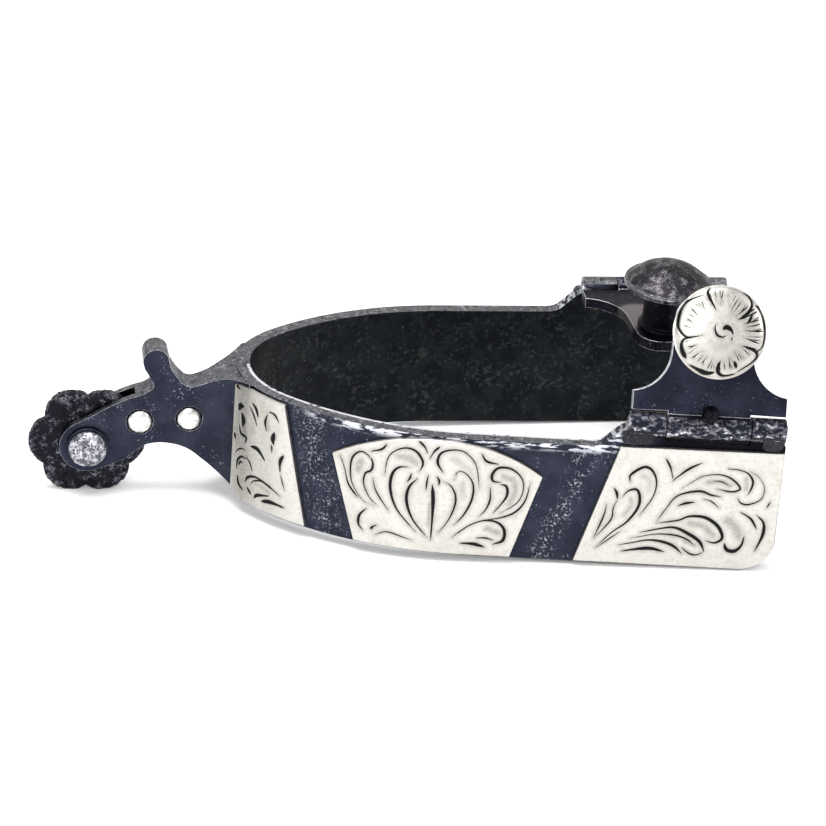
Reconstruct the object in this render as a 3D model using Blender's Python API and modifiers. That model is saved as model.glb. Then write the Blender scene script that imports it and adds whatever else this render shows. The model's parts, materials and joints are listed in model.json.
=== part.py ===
"""One western spur with hinged strap buttons, built as separate solids in metres, +Z up.

The spur points its rowel along -X and opens its heel band towards +X.  The side that is
worn outwards, called near, faces -Y and carries the silver trim.  The spur stands on two
lobes of its rowel and on the two rounded lower front corners of the heel band.

The heel band, its hinge lugs and its silver plates are modelled flat, as if the band had
been unrolled, and are then wrapped round the heel.  In that flat frame x is the distance
along the band's inner face from the middle of the heel (negative on the near arm), y is
the distance out of the inner face and z is the height above the band's lower edge.
"""
import bpy
import bmesh
from math import acos, asin, atan2, ceil, cos, degrees, hypot, pi, radians, sin
from mathutils import Matrix, Vector

MM = 0.001
NEAR, FAR = -1, 1

# Heel band
BAND_HEIGHT = 31.75 * MM
BAND_WALL = 3.4 * MM
HEEL_ARCS = ((20.24 * MM, 52.25), (29.48 * MM, 38.49), (74.41 * MM, 3.56))
ARM_LENGTH = 142.4 * MM          # along the inner face, from the middle of the heel
CORNER_RADIUS = 8.5 * MM
FRONT_LEAN = 0.7 * MM            # how far the arm's front edge leans back at its top
BEND_STEP = 4.0                  # degrees of bend between two stations

# Hinge on each arm
HINGE_HEIGHT = 37.6 * MM
HINGE_MIDDLE = 122.4 * MM        # along the inner face
KNUCKLE_RADIUS = 3.1 * MM
KNUCKLE_BORE = 1.4 * MM
HINGE_PIN_RADIUS = 1.3 * MM
BARREL_LENGTH = 37.7 * MM
MIDDLE_KNUCKLE = 20.3 * MM
LUG_FLOOR = 34.2 * MM            # the arm's top edge under the middle knuckle

# Shank and rowel
SHANK_WIDTH = 7.2 * MM
CHEEK_RADIUS = 6.9 * MM
ROWEL_AXIS = Vector((-39.0, 0.0, 9.5)) * MM
ROWEL_THICKNESS = 3.0 * MM
ROWEL_LOBES = 6
LOBE_CENTRE = 7.6 * MM
LOBE_RADIUS = 6.8 * MM
SADDLE_REACH = 12.0 * MM         # how far the shank's root reaches round the band, each way
SLOT_WIDTH = 3.6 * MM
SLOT_DEPTH = 15.9 * MM           # from the rowel's axis
SLOT_TILT = 24.0                 # degrees that the shank rises from the rowel to the band
PIN_RADIUS = 2.4 * MM
PIN_BORE = 2.5 * MM
WASHER_RADIUS = 5.3 * MM
WASHER_THICKNESS = 0.6 * MM
DOT_RADIUS = 2.95 * MM
DOT_POCKET_DEPTH = 0.8 * MM
DOT_PLACES = {"near_rear_dot": (-26.5 * MM, 16.7 * MM), "near_front_dot": (-14.4 * MM, 17.9 * MM)}

# Leaves and buttons
LEAF_THICKNESS = 2.6 * MM
LEAF_START = 3.5 * MM            # from the hinge's axis to the leaf's square lower edge
LEAF_END = 31.4 * MM
LEAF_HALF_BASE = 18.7 * MM
LEAF_NECK_RADIUS = 10.0 * MM
BUTTON_RADIUS = 11.2 * MM
POST_RADIUS = 5.5 * MM
POST_TOP = 11.6 * MM             # distances out of the leaf's middle plane
HEAD_BASE = 11.9 * MM
TENON_RADIUS = 2.5 * MM
SPIGOT_RADIUS = 2.0 * MM
LEAF_RIVET_RADIUS = 2.1 * MM
LEAF_LEAN = {NEAR: 23.0, FAR: 92.0}          # degrees inwards from upright, as they are left
LEAF_SHIFT = {NEAR: 0.0, FAR: -1.2 * MM}     # forwards from the hinge's middle
BUTTON_SHIFT = {NEAR: -0.95 * MM, FAR: -3.2 * MM}
BUTTON_REACH = {NEAR: 23.7 * MM, FAR: 22.8 * MM}     # from the hinge's axis
HEAD_RISE = {NEAR: 0.0, FAR: 1.0 * MM}       # the far button's post is longer
DOME_RISE = 4.9 * MM

# Silver plates
PLATE_THICKNESS = 0.8 * MM
GAP = 0.3 * MM                   # between pieces that touch


# ---------------------------------------------------------------- shared helpers

def clear_scene():
    for item in list(bpy.data.objects):
        bpy.data.objects.remove(item, do_unlink=True)


def new_collection(name):
    collection = bpy.data.collections.new(name)
    bpy.context.scene.collection.children.link(collection)
    return collection


def metal(name, colour, roughness, metallic=1.0):
    material = bpy.data.materials.new(name)
    material.use_nodes = True
    shader = material.node_tree.nodes["Principled BSDF"]
    shader.inputs["Base Color"].default_value = (*colour, 1.0)
    shader.inputs["Roughness"].default_value = roughness
    shader.inputs["Metallic"].default_value = metallic
    return material


def link(name, mesh):
    item = bpy.data.objects.new(name, mesh)
    SPUR.objects.link(item)
    return item


def tidy_mesh(mesh):
    """Weld the loose caps and turn every face outwards."""
    shape = bmesh.new()
    shape.from_mesh(mesh)
    bmesh.ops.remove_doubles(shape, verts=shape.verts, dist=1e-7)
    bmesh.ops.recalc_face_normals(shape, faces=shape.faces)
    shape.to_mesh(mesh)
    shape.free()
    return mesh


def bake(item):
    """Replace the object's data by its evaluated mesh."""
    graph = bpy.context.evaluated_depsgraph_get()
    mesh = bpy.data.meshes.new_from_object(item.evaluated_get(graph))
    item.modifiers.clear()
    item.data = tidy_mesh(mesh)
    return item


def combine(item, tool, operation):
    """One exact Boolean, after which the tool is dropped."""
    modifier = item.modifiers.new(operation.title(), "BOOLEAN")
    modifier.operation = operation
    modifier.solver = "EXACT"
    modifier.object = tool
    bake(item)
    bpy.data.objects.remove(tool, do_unlink=True)
    return item


def move_mesh(item, matrix):
    item.data.transform(matrix)
    return item


def extruded(name, outline, start, end, plane="XZ"):
    """A flat outline, drawn in XZ or in XY, filled and extruded along the third axis."""
    curve = bpy.data.curves.new(name, "CURVE")
    curve.dimensions = "2D"
    curve.fill_mode = "BOTH"
    curve.extrude = (end - start) / 2
    spline = curve.splines.new("POLY")
    spline.points.add(len(outline) - 1)
    for point, (x, y) in zip(spline.points, outline):
        point.co = (x, y, 0.0, 1.0)
    spline.use_cyclic_u = True
    flat = bpy.data.objects.new(name + "_outline", curve)
    SPUR.objects.link(flat)
    graph = bpy.context.evaluated_depsgraph_get()
    mesh = bpy.data.meshes.new_from_object(flat.evaluated_get(graph))
    bpy.data.objects.remove(flat, do_unlink=True)
    middle = (start + end) / 2
    if plane == "XZ":
        mesh.transform(Matrix.Translation((0, middle, 0)) @ Matrix.Rotation(pi / 2, 4, "X"))
    else:
        mesh.transform(Matrix.Translation((0, 0, middle)))
    return link(name, tidy_mesh(mesh))


def turned(name, profile, segments=32, closed=False):
    """Turn a profile of (radius, height) points about Z; it runs down its outer side."""
    mesh = bpy.data.meshes.new(name)
    count = len(profile)
    edges = [(i, i + 1) for i in range(count - 1)]
    if closed:
        edges.append((count - 1, 0))
    mesh.from_pydata([(r, 0.0, z) for r, z in profile], edges, [])
    item = link(name, mesh)
    screw = item.modifiers.new("Screw", "SCREW")
    screw.steps = screw.render_steps = segments
    screw.use_merge_vertices = True
    screw.merge_threshold = 1e-7
    return bake(item)


def rod(name, radius, start, end, axis, segments=24):
    """A cylinder along one axis, from start to end on that axis."""
    shape = bmesh.new()
    bmesh.ops.create_cone(shape, cap_ends=True, segments=segments, radius1=radius,
                          radius2=radius, depth=end - start)
    turn = {"X": Matrix.Rotation(pi / 2, 4, "Y"), "Y": Matrix.Rotation(pi / 2, 4, "X"),
            "Z": Matrix.Identity(4)}[axis]
    middle = Vector([(start + end) / 2 if letter == axis else 0.0 for letter in "XYZ"])
    shape.transform(Matrix.Translation(middle) @ turn)
    mesh = bpy.data.meshes.new(name)
    shape.to_mesh(mesh)
    shape.free()
    return link(name, mesh)


def ball(name, radius, centre, segments=20):
    shape = bmesh.new()
    bmesh.ops.create_uvsphere(shape, u_segments=segments, v_segments=segments // 2, radius=radius)
    shape.transform(Matrix.Translation(centre))
    mesh = bpy.data.meshes.new(name)
    shape.to_mesh(mesh)
    shape.free()
    return link(name, mesh)


def arc(centre, radius, first, last, steps):
    """Points on a circle, from the first to the last angle in degrees."""
    return [(centre[0] + radius * cos(radians(first + (last - first) * i / steps)),
             centre[1] + radius * sin(radians(first + (last - first) * i / steps)))
            for i in range(steps + 1)]


def smooth(points, steps=4):
    """A Catmull-Rom curve through the points, ends included."""
    padded = [points[0], *points, points[-1]]
    result = []
    for a, b, c, d in zip(padded, padded[1:], padded[2:], padded[3:]):
        for i in range(steps):
            t = i / steps
            result.append(tuple(
                0.5 * (2 * b[k] + (c[k] - a[k]) * t
                       + (2 * a[k] - 5 * b[k] + 4 * c[k] - d[k]) * t ** 2
                       + (3 * b[k] - a[k] - 3 * c[k] + d[k]) * t ** 3) for k in (0, 1)))
    result.append(points[-1])
    return result


def millimetres(points):
    return [(x * MM, y * MM) for x, y in points]


def place(item, parent, material, matrix=None):
    item.parent = parent
    if matrix is not None:
        item.matrix_local = matrix
    item.data.materials.clear()
    item.data.materials.append(material)
    item.data.shade_smooth()
    item.data.set_sharp_from_angle(angle=radians(35))
    return item


# ---------------------------------------------------------------- the heel's curve

def heel_stations():
    """Distances along the inner face where the flat band is folded, from heel to arm."""
    stations = [0.0]
    heading = 90.0
    for radius, end in HEEL_ARCS:
        steps = ceil((heading - end) / BEND_STEP)
        length = radius * radians(heading - end)
        first = stations[-1]
        stations += [first + length * (i + 1) / steps for i in range(steps)]
        heading = end
    return stations


def on_heel(along, out):
    """The plan position of a point `along` the inner face and `out` of it."""
    side = -1 if along < 0 else 1
    left = abs(along)
    x = y = 0.0
    heading = 90.0
    for radius, end in HEEL_ARCS:
        length = radius * radians(heading - end)
        turn = radians(heading) - min(left, length) / radius
        centre = (x + radius * sin(radians(heading)), y - radius * cos(radians(heading)))
        reach = radius + out if left <= length else radius
        x = centre[0] - reach * sin(turn)
        y = centre[1] + reach * cos(turn)
        if left <= length:
            return x, side * y
        left -= length
        heading = end
    turn = radians(heading)
    x += left * cos(turn) - out * sin(turn)
    y += left * sin(turn) + out * cos(turn)
    return x, side * y


def wrap(item):
    """Fold a flat piece round the heel, cutting it at every station first."""
    shape = bmesh.new()
    shape.from_mesh(item.data)
    bmesh.ops.dissolve_limit(shape, angle_limit=radians(0.5), verts=shape.verts, edges=shape.edges)
    stations = heel_stations()
    for station in sorted({*stations, *(-s for s in stations)}):
        bmesh.ops.bisect_plane(shape, geom=[*shape.verts, *shape.edges, *shape.faces],
                               dist=1e-7, plane_co=(station, 0, 0), plane_no=(1, 0, 0))
    for vert in shape.verts:
        vert.co.x, vert.co.y = on_heel(vert.co.x, vert.co.y)
    bmesh.ops.remove_doubles(shape, verts=shape.verts, dist=1e-7)
    bmesh.ops.recalc_face_normals(shape, faces=shape.faces)
    shape.to_mesh(item.data)
    shape.free()
    return item


def hinge_frame(side):
    """Where one arm's hinge lies: x along the barrel towards the front, z up."""
    x, y = on_heel(side * HINGE_MIDDLE, BAND_WALL / 2)
    turn = side * radians(HEEL_ARCS[-1][1])
    return Matrix.Translation((x, y, HINGE_HEIGHT)) @ Matrix.Rotation(turn, 4, "Z")


# ---------------------------------------------------------------- heel band and plates

def arm_outline(side):
    """Half of the flat band's side view, from the middle of its lower edge round to its top."""
    barrel_start = HINGE_MIDDLE - BARREL_LENGTH / 2
    barrel_end = HINGE_MIDDLE + BARREL_LENGTH / 2
    gap_start = HINGE_MIDDLE - MIDDLE_KNUCKLE / 2 - GAP
    gap_end = HINGE_MIDDLE + MIDDLE_KNUCKLE / 2 + GAP
    inset = 0.1 * MM
    corner = (ARM_LENGTH - CORNER_RADIUS, CORNER_RADIUS)
    shoulder = smooth([(barrel_start + inset, HINGE_HEIGHT), (101.2 * MM, 35.9 * MM),
                       (98.9 * MM, 33.7 * MM), (97.2 * MM, 32.3 * MM), (95.2 * MM, BAND_HEIGHT)], 3)
    points = arc(corner, CORNER_RADIUS, -90, 0, 8)
    points += [(ARM_LENGTH - FRONT_LEAN, LUG_FLOOR), (barrel_end - inset, LUG_FLOOR + MM),
               (barrel_end - inset, HINGE_HEIGHT), (gap_end + inset, HINGE_HEIGHT),
               (gap_end + inset, LUG_FLOOR), (gap_start - inset, LUG_FLOOR),
               (gap_start - inset, HINGE_HEIGHT)]
    points += shoulder
    return [(side * x, z) for x, z in points]


def make_heel_band():
    outline = arm_outline(FAR) + arm_outline(NEAR)[::-1]
    band = extruded("heel_band", outline, 0.0, BAND_WALL)
    barrel = (HINGE_MIDDLE - BARREL_LENGTH / 2, HINGE_MIDDLE + BARREL_LENGTH / 2)
    middle = (HINGE_MIDDLE - MIDDLE_KNUCKLE / 2 - GAP, HINGE_MIDDLE + MIDDLE_KNUCKLE / 2 + GAP)
    axis = Matrix.Translation((0, BAND_WALL / 2, HINGE_HEIGHT))
    for side in (NEAR, FAR):
        for ends in ((barrel[0], middle[0]), (middle[1], barrel[1])):
            start, end = sorted(side * end for end in ends)
            knuckle = move_mesh(rod("knuckle", KNUCKLE_RADIUS, start, end, "X"), axis)
            combine(band, knuckle, "UNION")
        start, end = sorted(side * end for end in barrel)
        bore = rod("bore", KNUCKLE_BORE, start - MM, end + MM, "X")
        combine(band, move_mesh(bore, axis), "DIFFERENCE")
    return place(wrap(band), STAND, STEEL)


def plate(name, outline):
    """A thin silver plate on the outside of the near arm, from its flat outline."""
    base = BAND_WALL + GAP
    flat = [(-along, height) for along, height in outline]
    return place(wrap(extruded(name, flat, base, base + PLATE_THICKNESS)), STAND, SILVER)


def offset_path(path, distance):
    """The plan path moved sideways, to the right of its direction."""
    moved = []
    for i, (x, y) in enumerate(path):
        before, after = path[max(i - 1, 0)], path[min(i + 1, len(path) - 1)]
        dx, dy = after[0] - before[0], after[1] - before[1]
        moved.append((x + distance * dy / hypot(dx, dy), y - distance * dx / hypot(dx, dy)))
    return moved


def make_heel_plate():
    """The plate that starts on the flare of the shank and runs on along the band."""
    outside = [on_heel(along * MM, BAND_WALL) for along in range(17, 33, 2)]
    surface = shank_flare()[3:] + [on_heel(SADDLE_REACH, BAND_WALL + GAP)] + outside
    surface = [(x, -y) for x, y in surface]
    strip = offset_path(surface, GAP) + offset_path(surface, GAP + PLATE_THICKNESS)[::-1]
    heel_plate = extruded("heel_plate", strip, -5 * MM, 40 * MM, plane="XY")
    side_view = millimetres([(-3.8, 30.3), (-3.1, 2.9), (-1.4, 0.7), (13.5, 0.7), (6.9, 31.2),
                             (-0.8, 31.2)])
    combine(heel_plate, extruded("side_view", side_view, -40 * MM, 0.0), "INTERSECT")
    return place(heel_plate, STAND, SILVER)


def make_plates():
    make_heel_plate()
    half_arc = degrees(acos(1 - 8.4 / 41.0))
    fan_top = arc((58.8 * MM, -9.8 * MM), 41.0 * MM, 90 - half_arc, 90 + half_arc, 16)
    plate("fan_plate", millimetres([(40.8, 0.6), (77.8, 0.6)]) + fan_top)
    corner = (ARM_LENGTH - CORNER_RADIUS, CORNER_RADIUS + 0.3 * MM)
    front = arc(corner, CORNER_RADIUS - 0.3 * MM, -90, 0, 8)
    end = millimetres([(93.4, 0.6)]) + front
    end += millimetres([(141.4, 32.5), (101.7, 32.5)])
    plate("end_plate", end)


# ---------------------------------------------------------------- shank

def shank_side():
    """The shank's side view: cheeks, chap guard and the root that meets the band."""
    pin = (ROWEL_AXIS.x, ROWEL_AXIS.z)
    cheek = arc(pin, CHEEK_RADIUS, 122, 292, 12)
    lower = smooth(millimetres([(-33.0, 4.6), (-29.0, 6.8), (-25.1, 10.2), (-20.3, 11.1),
                                (-14.9, 9.9), (-10.1, 6.6), (-6.4, 4.1), (-3.6, 2.3), (-0.5, 0.5)]), 3)
    root = millimetres([(6.0, 0.3), (6.0, 31.4)])
    saddle = smooth(millimetres([(-3.4, 31.1), (-6.6, 29.8), (-10.6, 28.0), (-14.6, 26.6),
                                 (-17.2, 28.2), (-19.6, 31.4)]), 3)
    guard = arc((-23.4 * MM, 33.3 * MM), 3.2 * MM, 5, 190, 8)
    upper = smooth(millimetres([(-26.1, 31.2), (-24.6, 28.8), (-23.6, 26.4), (-25.6, 24.5),
                                (-29.8, 22.8), (-35.0, 20.0), (-40.6, 16.4)]), 3)
    return cheek + lower + root + saddle + guard + upper


def shank_flare():
    """Half of the shank's top view, where its cheeks flare into the curve of the band."""
    flare = smooth(millimetres([(-14.0, 3.6), (-10.0, 3.9), (-6.5, 5.5), (-3.6, 8.2), (-1.0, 11.6)]), 3)
    flare[0] = (flare[0][0], SHANK_WIDTH / 2)
    return flare


def shank_plan():
    """The shank's top view: parallel cheeks, the flare and the seat on the band."""
    one_side = [(-50 * MM, SHANK_WIDTH / 2), *shank_flare()]
    other_side = [(x, -y) for x, y in reversed(one_side)]
    seat = BAND_WALL + GAP
    saddle = [on_heel(SADDLE_REACH * (1 - i / 8), seat) for i in range(17)]
    return one_side + saddle + other_side


def make_shank():
    shank = extruded("shank", shank_side(), -20 * MM, 20 * MM)
    plan = extruded("plan", shank_plan(), -5 * MM, 45 * MM, plane="XY")
    combine(shank, plan, "INTERSECT")
    slot = extruded("slot", [(-30 * MM, -30 * MM), (SLOT_DEPTH, -30 * MM), (SLOT_DEPTH, 30 * MM),
                             (-30 * MM, 30 * MM)], -SLOT_WIDTH / 2, SLOT_WIDTH / 2)
    move_mesh(slot, Matrix.Translation(ROWEL_AXIS) @ Matrix.Rotation(-radians(SLOT_TILT), 4, "Y"))
    combine(shank, slot, "DIFFERENCE")
    hole = rod("hole", PIN_BORE, -10 * MM, 10 * MM, "Y")
    combine(shank, move_mesh(hole, Matrix.Translation(ROWEL_AXIS)), "DIFFERENCE")
    floor = -SHANK_WIDTH / 2 + DOT_POCKET_DEPTH
    for x, z in DOT_PLACES.values():
        pocket = rod("pocket", DOT_RADIUS + 0.45 * MM, -SHANK_WIDTH, floor, "Y")
        combine(shank, move_mesh(pocket, Matrix.Translation((x, 0, z))), "DIFFERENCE")
    return place(shank, STAND, STEEL)


def make_dots():
    """Low silver domes let into the near cheek."""
    face = SHANK_WIDTH / 2
    dome = [(DOT_RADIUS * sin(radians(a)), 1.1 * MM * cos(radians(a))) for a in (0, 18, 36, 54, 72, 90)]
    profile = dome + [(DOT_RADIUS, GAP - DOT_POCKET_DEPTH), (0.0, GAP - DOT_POCKET_DEPTH)]
    for name, (x, z) in DOT_PLACES.items():
        dot = turned(name, profile, 24)
        move_mesh(dot, Matrix.Rotation(pi / 2, 4, "X"))
        place(dot, STAND, SILVER, Matrix.Translation((x, -face, z)))


# ---------------------------------------------------------------- rowel and its pin

def rowel_outline():
    """Six round lobes that meet in notches, one notch pointing straight down."""
    half = pi / ROWEL_LOBES
    notch = LOBE_CENTRE * cos(half) + (LOBE_RADIUS ** 2 - (LOBE_CENTRE * sin(half)) ** 2) ** 0.5
    sweep = degrees(atan2(notch * sin(half), notch * cos(half) - LOBE_CENTRE))
    points = []
    for lobe in range(ROWEL_LOBES):
        middle = -60 + lobe * 360 / ROWEL_LOBES
        centre = (LOBE_CENTRE * cos(radians(middle)), LOBE_CENTRE * sin(radians(middle)))
        points += arc(centre, LOBE_RADIUS, middle - sweep, middle + sweep, 12)[:-1]
    return points


def make_rowel():
    half = ROWEL_THICKNESS / 2
    rowel = extruded("rowel", rowel_outline(), -half, half)
    combine(rowel, rod("bore", PIN_BORE, -10 * MM, 10 * MM, "Y"), "DIFFERENCE")
    level = Matrix.Rotation(-PITCH, 4, "Y")
    return place(rowel, STAND, ROUGH_IRON, Matrix.Translation(ROWEL_AXIS) @ level)


def make_rowel_pin():
    """A riveted pin with a domed head on the near side, over a washer at each end."""
    seat = SHANK_WIDTH / 2 + 2 * GAP + WASHER_THICKNESS
    dome = [(4.7 * MM * sin(radians(a)), seat + 0.4 * MM + 2.0 * MM * cos(radians(a)))
            for a in range(0, 91, 15)]
    tail = [(4.1 * MM * sin(radians(a)), -seat - 0.3 * MM - 1.4 * MM * cos(radians(a)))
            for a in range(90, -1, -15)]
    profile = dome + [(4.7 * MM, seat), (PIN_RADIUS, seat), (PIN_RADIUS, -seat), (4.1 * MM, -seat)]
    pin = move_mesh(turned("rowel_pin", profile + tail, 24), Matrix.Rotation(pi / 2, 4, "X"))
    place(pin, STAND, BRIGHT_STEEL, Matrix.Translation(ROWEL_AXIS))
    base = SHANK_WIDTH / 2 + GAP
    ring = [(WASHER_RADIUS, WASHER_THICKNESS), (WASHER_RADIUS, 0.0), (PIN_BORE, 0.0),
            (PIN_BORE, WASHER_THICKNESS)]
    for name, side in (("near_pin_washer", NEAR), ("far_pin_washer", FAR)):
        washer = turned(name, ring, 24, closed=True)
        move_mesh(washer, Matrix.Rotation(-side * pi / 2, 4, "X"))
        spot = Vector((ROWEL_AXIS.x, side * base, ROWEL_AXIS.z))
        place(washer, STAND, STEEL, Matrix.Translation(spot))


# ---------------------------------------------------------------- hinges, leaves, buttons

def leaf_outline(shift):
    """The swinging leaf's flat shape: square base, bell shoulders and a blunt round end."""
    web = MIDDLE_KNUCKLE / 2 - 0.1 * MM
    neck, shoulder_height = 19.9 * MM, 18.0 * MM
    end_half, bend = 9.4 * MM, 5.5 * MM
    start_angle = degrees(acos((neck - LEAF_HALF_BASE) / LEAF_NECK_RADIUS))
    right = arc((neck, shoulder_height), LEAF_NECK_RADIUS, 180 + start_angle, 180, 8)
    right += arc((end_half - bend, LEAF_END - bend), bend, 0, 90, 6)
    left = [(-x, z) for x, z in reversed(right)]
    sides = [(x + shift, z) for x, z in right + left]
    root = LEAF_START + 0.1 * MM
    return [(shift - LEAF_HALF_BASE, LEAF_START), (-web, root), (-web, 0.0), (web, 0.0),
            (web, root), (shift + LEAF_HALF_BASE, LEAF_START)] + sides


def button_spot(side):
    """Where the middle of a button lies on its leaf."""
    return Matrix.Translation((BUTTON_SHIFT[side], 0, BUTTON_REACH[side]))


def outwards(side):
    """Turns a piece made along +Z so that it points out of the leaf's outer face."""
    return Matrix.Rotation(-side * pi / 2, 4, "X")


def make_leaf(prefix, side, hinge):
    half = LEAF_THICKNESS / 2
    leaf = extruded(prefix + "_leaf", leaf_outline(LEAF_SHIFT[side]), -half, half)
    knuckle = MIDDLE_KNUCKLE / 2
    combine(leaf, rod("knuckle", KNUCKLE_RADIUS, -knuckle, knuckle, "X"), "UNION")
    combine(leaf, rod("bore", KNUCKLE_BORE, -2 * knuckle, 2 * knuckle, "X"), "DIFFERENCE")
    hole = rod("hole", TENON_RADIUS + 0.1 * MM, -10 * MM, 10 * MM, "Y")
    combine(leaf, move_mesh(hole, button_spot(side)), "DIFFERENCE")
    rivet_spot = Vector((0, side * 2.9 * MM, 3.3 * MM))
    combine(leaf, ball("seat", LEAF_RIVET_RADIUS + GAP, rivet_spot), "DIFFERENCE")
    place(leaf, hinge, STEEL)
    rivet = ball(prefix + "_leaf_rivet", LEAF_RIVET_RADIUS, (0, 0, 0))
    place(rivet, hinge, BLACK_STEEL, Matrix.Translation(rivet_spot))


def make_post(prefix, side, hinge):
    """The strap post: a riveted tail, a tenon through the leaf and a spigot for the head."""
    face = LEAF_THICKNESS / 2 + GAP
    top = POST_TOP + HEAD_RISE[side]
    spigot_end = HEAD_BASE + HEAD_RISE[side] + 1.1 * MM
    tail = [(4.2 * MM * sin(radians(a)), -face - 0.3 * MM - 0.9 * MM * cos(radians(a)))
            for a in range(90, -1, -15)]
    profile = [(0.0, spigot_end), (SPIGOT_RADIUS, spigot_end), (SPIGOT_RADIUS, top),
               (POST_RADIUS, top), (POST_RADIUS, face), (TENON_RADIUS, face),
               (TENON_RADIUS, -face), (4.2 * MM, -face)]
    post = move_mesh(turned(prefix + "_button_post", profile + tail, 32), outwards(side))
    place(post, hinge, STEEL, button_spot(side))


def head_socket(base):
    """The underside of a button's head, from its rim to the blind hole for the spigot."""
    socket = SPIGOT_RADIUS + 0.1 * MM
    return [(socket, base), (socket, base + 1.4 * MM), (0.0, base + 1.4 * MM)]


def make_near_head(hinge):
    """A steel disc that carries a silver concho."""
    spot = button_spot(NEAR)
    top = HEAD_BASE + 1.9 * MM
    disc = [(0.0, top), (10.3 * MM, top), (10.9 * MM, top - 0.5 * MM),
            (10.9 * MM, HEAD_BASE + 0.6 * MM), (10.2 * MM, HEAD_BASE)]
    head = move_mesh(turned("near_button_disc", disc + head_socket(HEAD_BASE), 40), outwards(NEAR))
    place(head, hinge, STEEL, spot)
    base = top + GAP
    crown = 2.2 * MM
    dome = [(BUTTON_RADIUS * 0.96 * sin(radians(a)), base + 0.5 * MM + crown * cos(radians(a)))
            for a in range(0, 91, 15)]
    profile = dome + [(BUTTON_RADIUS, base + 0.4 * MM), (BUTTON_RADIUS, base), (0.0, base)]
    concho = move_mesh(turned("near_concho", profile, 40), outwards(NEAR))
    place(concho, hinge, SILVER, spot)


def make_far_head(hinge):
    """A plain domed steel button."""
    base = HEAD_BASE + HEAD_RISE[FAR]
    rim = base + 1.3 * MM
    reach = BUTTON_RADIUS - 0.4 * MM
    ball_radius = (reach ** 2 + DOME_RISE ** 2) / (2 * DOME_RISE)
    edge = asin(reach / ball_radius)
    dome = [(ball_radius * sin(edge * i / 10), rim + DOME_RISE - ball_radius * (1 - cos(edge * i / 10)))
            for i in range(11)]
    profile = dome + [(BUTTON_RADIUS, rim - 0.1 * MM), (BUTTON_RADIUS, base + 0.3 * MM),
                      (BUTTON_RADIUS - 0.3 * MM, base)]
    head = move_mesh(turned("far_button", profile + head_socket(base), 40), outwards(FAR))
    place(head, hinge, PEWTER, button_spot(FAR))


def make_hinge(prefix, side):
    """One arm's pin, and the empty on its axis that carries the leaf and the button."""
    frame = hinge_frame(side)
    half = BARREL_LENGTH / 2 + 0.5 * MM
    pin = rod(prefix + "_hinge_pin", HINGE_PIN_RADIUS, -half, half, "X")
    place(pin, STAND, BRIGHT_STEEL, frame)
    hinge = bpy.data.objects.new(prefix + "_hinge", None)
    SPUR.objects.link(hinge)
    hinge.parent = STAND
    hinge.matrix_local = frame @ Matrix.Rotation(side * radians(LEAF_LEAN[side]), 4, "X")
    make_leaf(prefix, side, hinge)
    make_post(prefix, side, hinge)
    return hinge


# ---------------------------------------------------------------- standing the spur up

def standing_pitch():
    """The turn about Y that puts two rowel lobes and the front corners on one floor."""
    lobes_drop = LOBE_CENTRE * cos(pi / ROWEL_LOBES) + LOBE_RADIUS
    corner_x = on_heel(ARM_LENGTH - CORNER_RADIUS, 0)[0]
    run = corner_x - ROWEL_AXIS.x
    rise = CORNER_RADIUS - ROWEL_AXIS.z
    return asin((lobes_drop - CORNER_RADIUS) / hypot(run, rise)) + atan2(rise, run)


def stand_on_origin():
    """Move everything so that the box's bottom centre is the origin."""
    bpy.context.view_layer.update()
    corners = [item.matrix_world @ vert.co for item in SPUR.objects if item.type == "MESH"
               for vert in item.data.vertices]
    low = [min(corner[k] for corner in corners) for k in range(3)]
    high = [max(corner[k] for corner in corners) for k in range(3)]
    STAND.location -= Vector(((low[0] + high[0]) / 2, (low[1] + high[1]) / 2, low[2]))
    bpy.context.view_layer.update()


clear_scene()
SPUR = new_collection("spur")
STEEL = metal("blued_steel", (0.030, 0.034, 0.052), 0.42)
BLACK_STEEL = metal("black_steel", (0.012, 0.013, 0.018), 0.50)
ROUGH_IRON = metal("rough_iron", (0.045, 0.047, 0.055), 0.62)
BRIGHT_STEEL = metal("bright_steel", (0.36, 0.36, 0.40), 0.45)
PEWTER = metal("dark_pewter", (0.11, 0.105, 0.115), 0.50)
SILVER = metal("engraved_silver", (0.80, 0.77, 0.70), 0.34)
PITCH = standing_pitch()
STAND = bpy.data.objects.new("spur_stand", None)
SPUR.objects.link(STAND)
STAND.rotation_euler = (0.0, PITCH, 0.0)

make_heel_band()
make_plates()
make_shank()
make_dots()
make_rowel()
make_rowel_pin()
make_near_head(make_hinge("near", NEAR))
make_far_head(make_hinge("far", FAR))
stand_on_origin()
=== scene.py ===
"""The looks of a western spur with hinged strap buttons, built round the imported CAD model.

Pieces are shaped in millimetres and go to the model's metres when they are placed.  The heel
band, its lugs and its silver plates are shaped flat, as if the band had been unrolled, and
are then wrapped round the heel.  In that flat frame x is the distance along the band's inner
face from the middle of the heel (negative on the near arm), y is the distance out of the
inner face and z is the height above the band's lower edge.
"""
import json
from math import acos, asin, ceil, cos, degrees, hypot, pi, radians, sin

import bmesh
import bpy
import numpy as np
from mathutils import Matrix, Vector, noise


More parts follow.
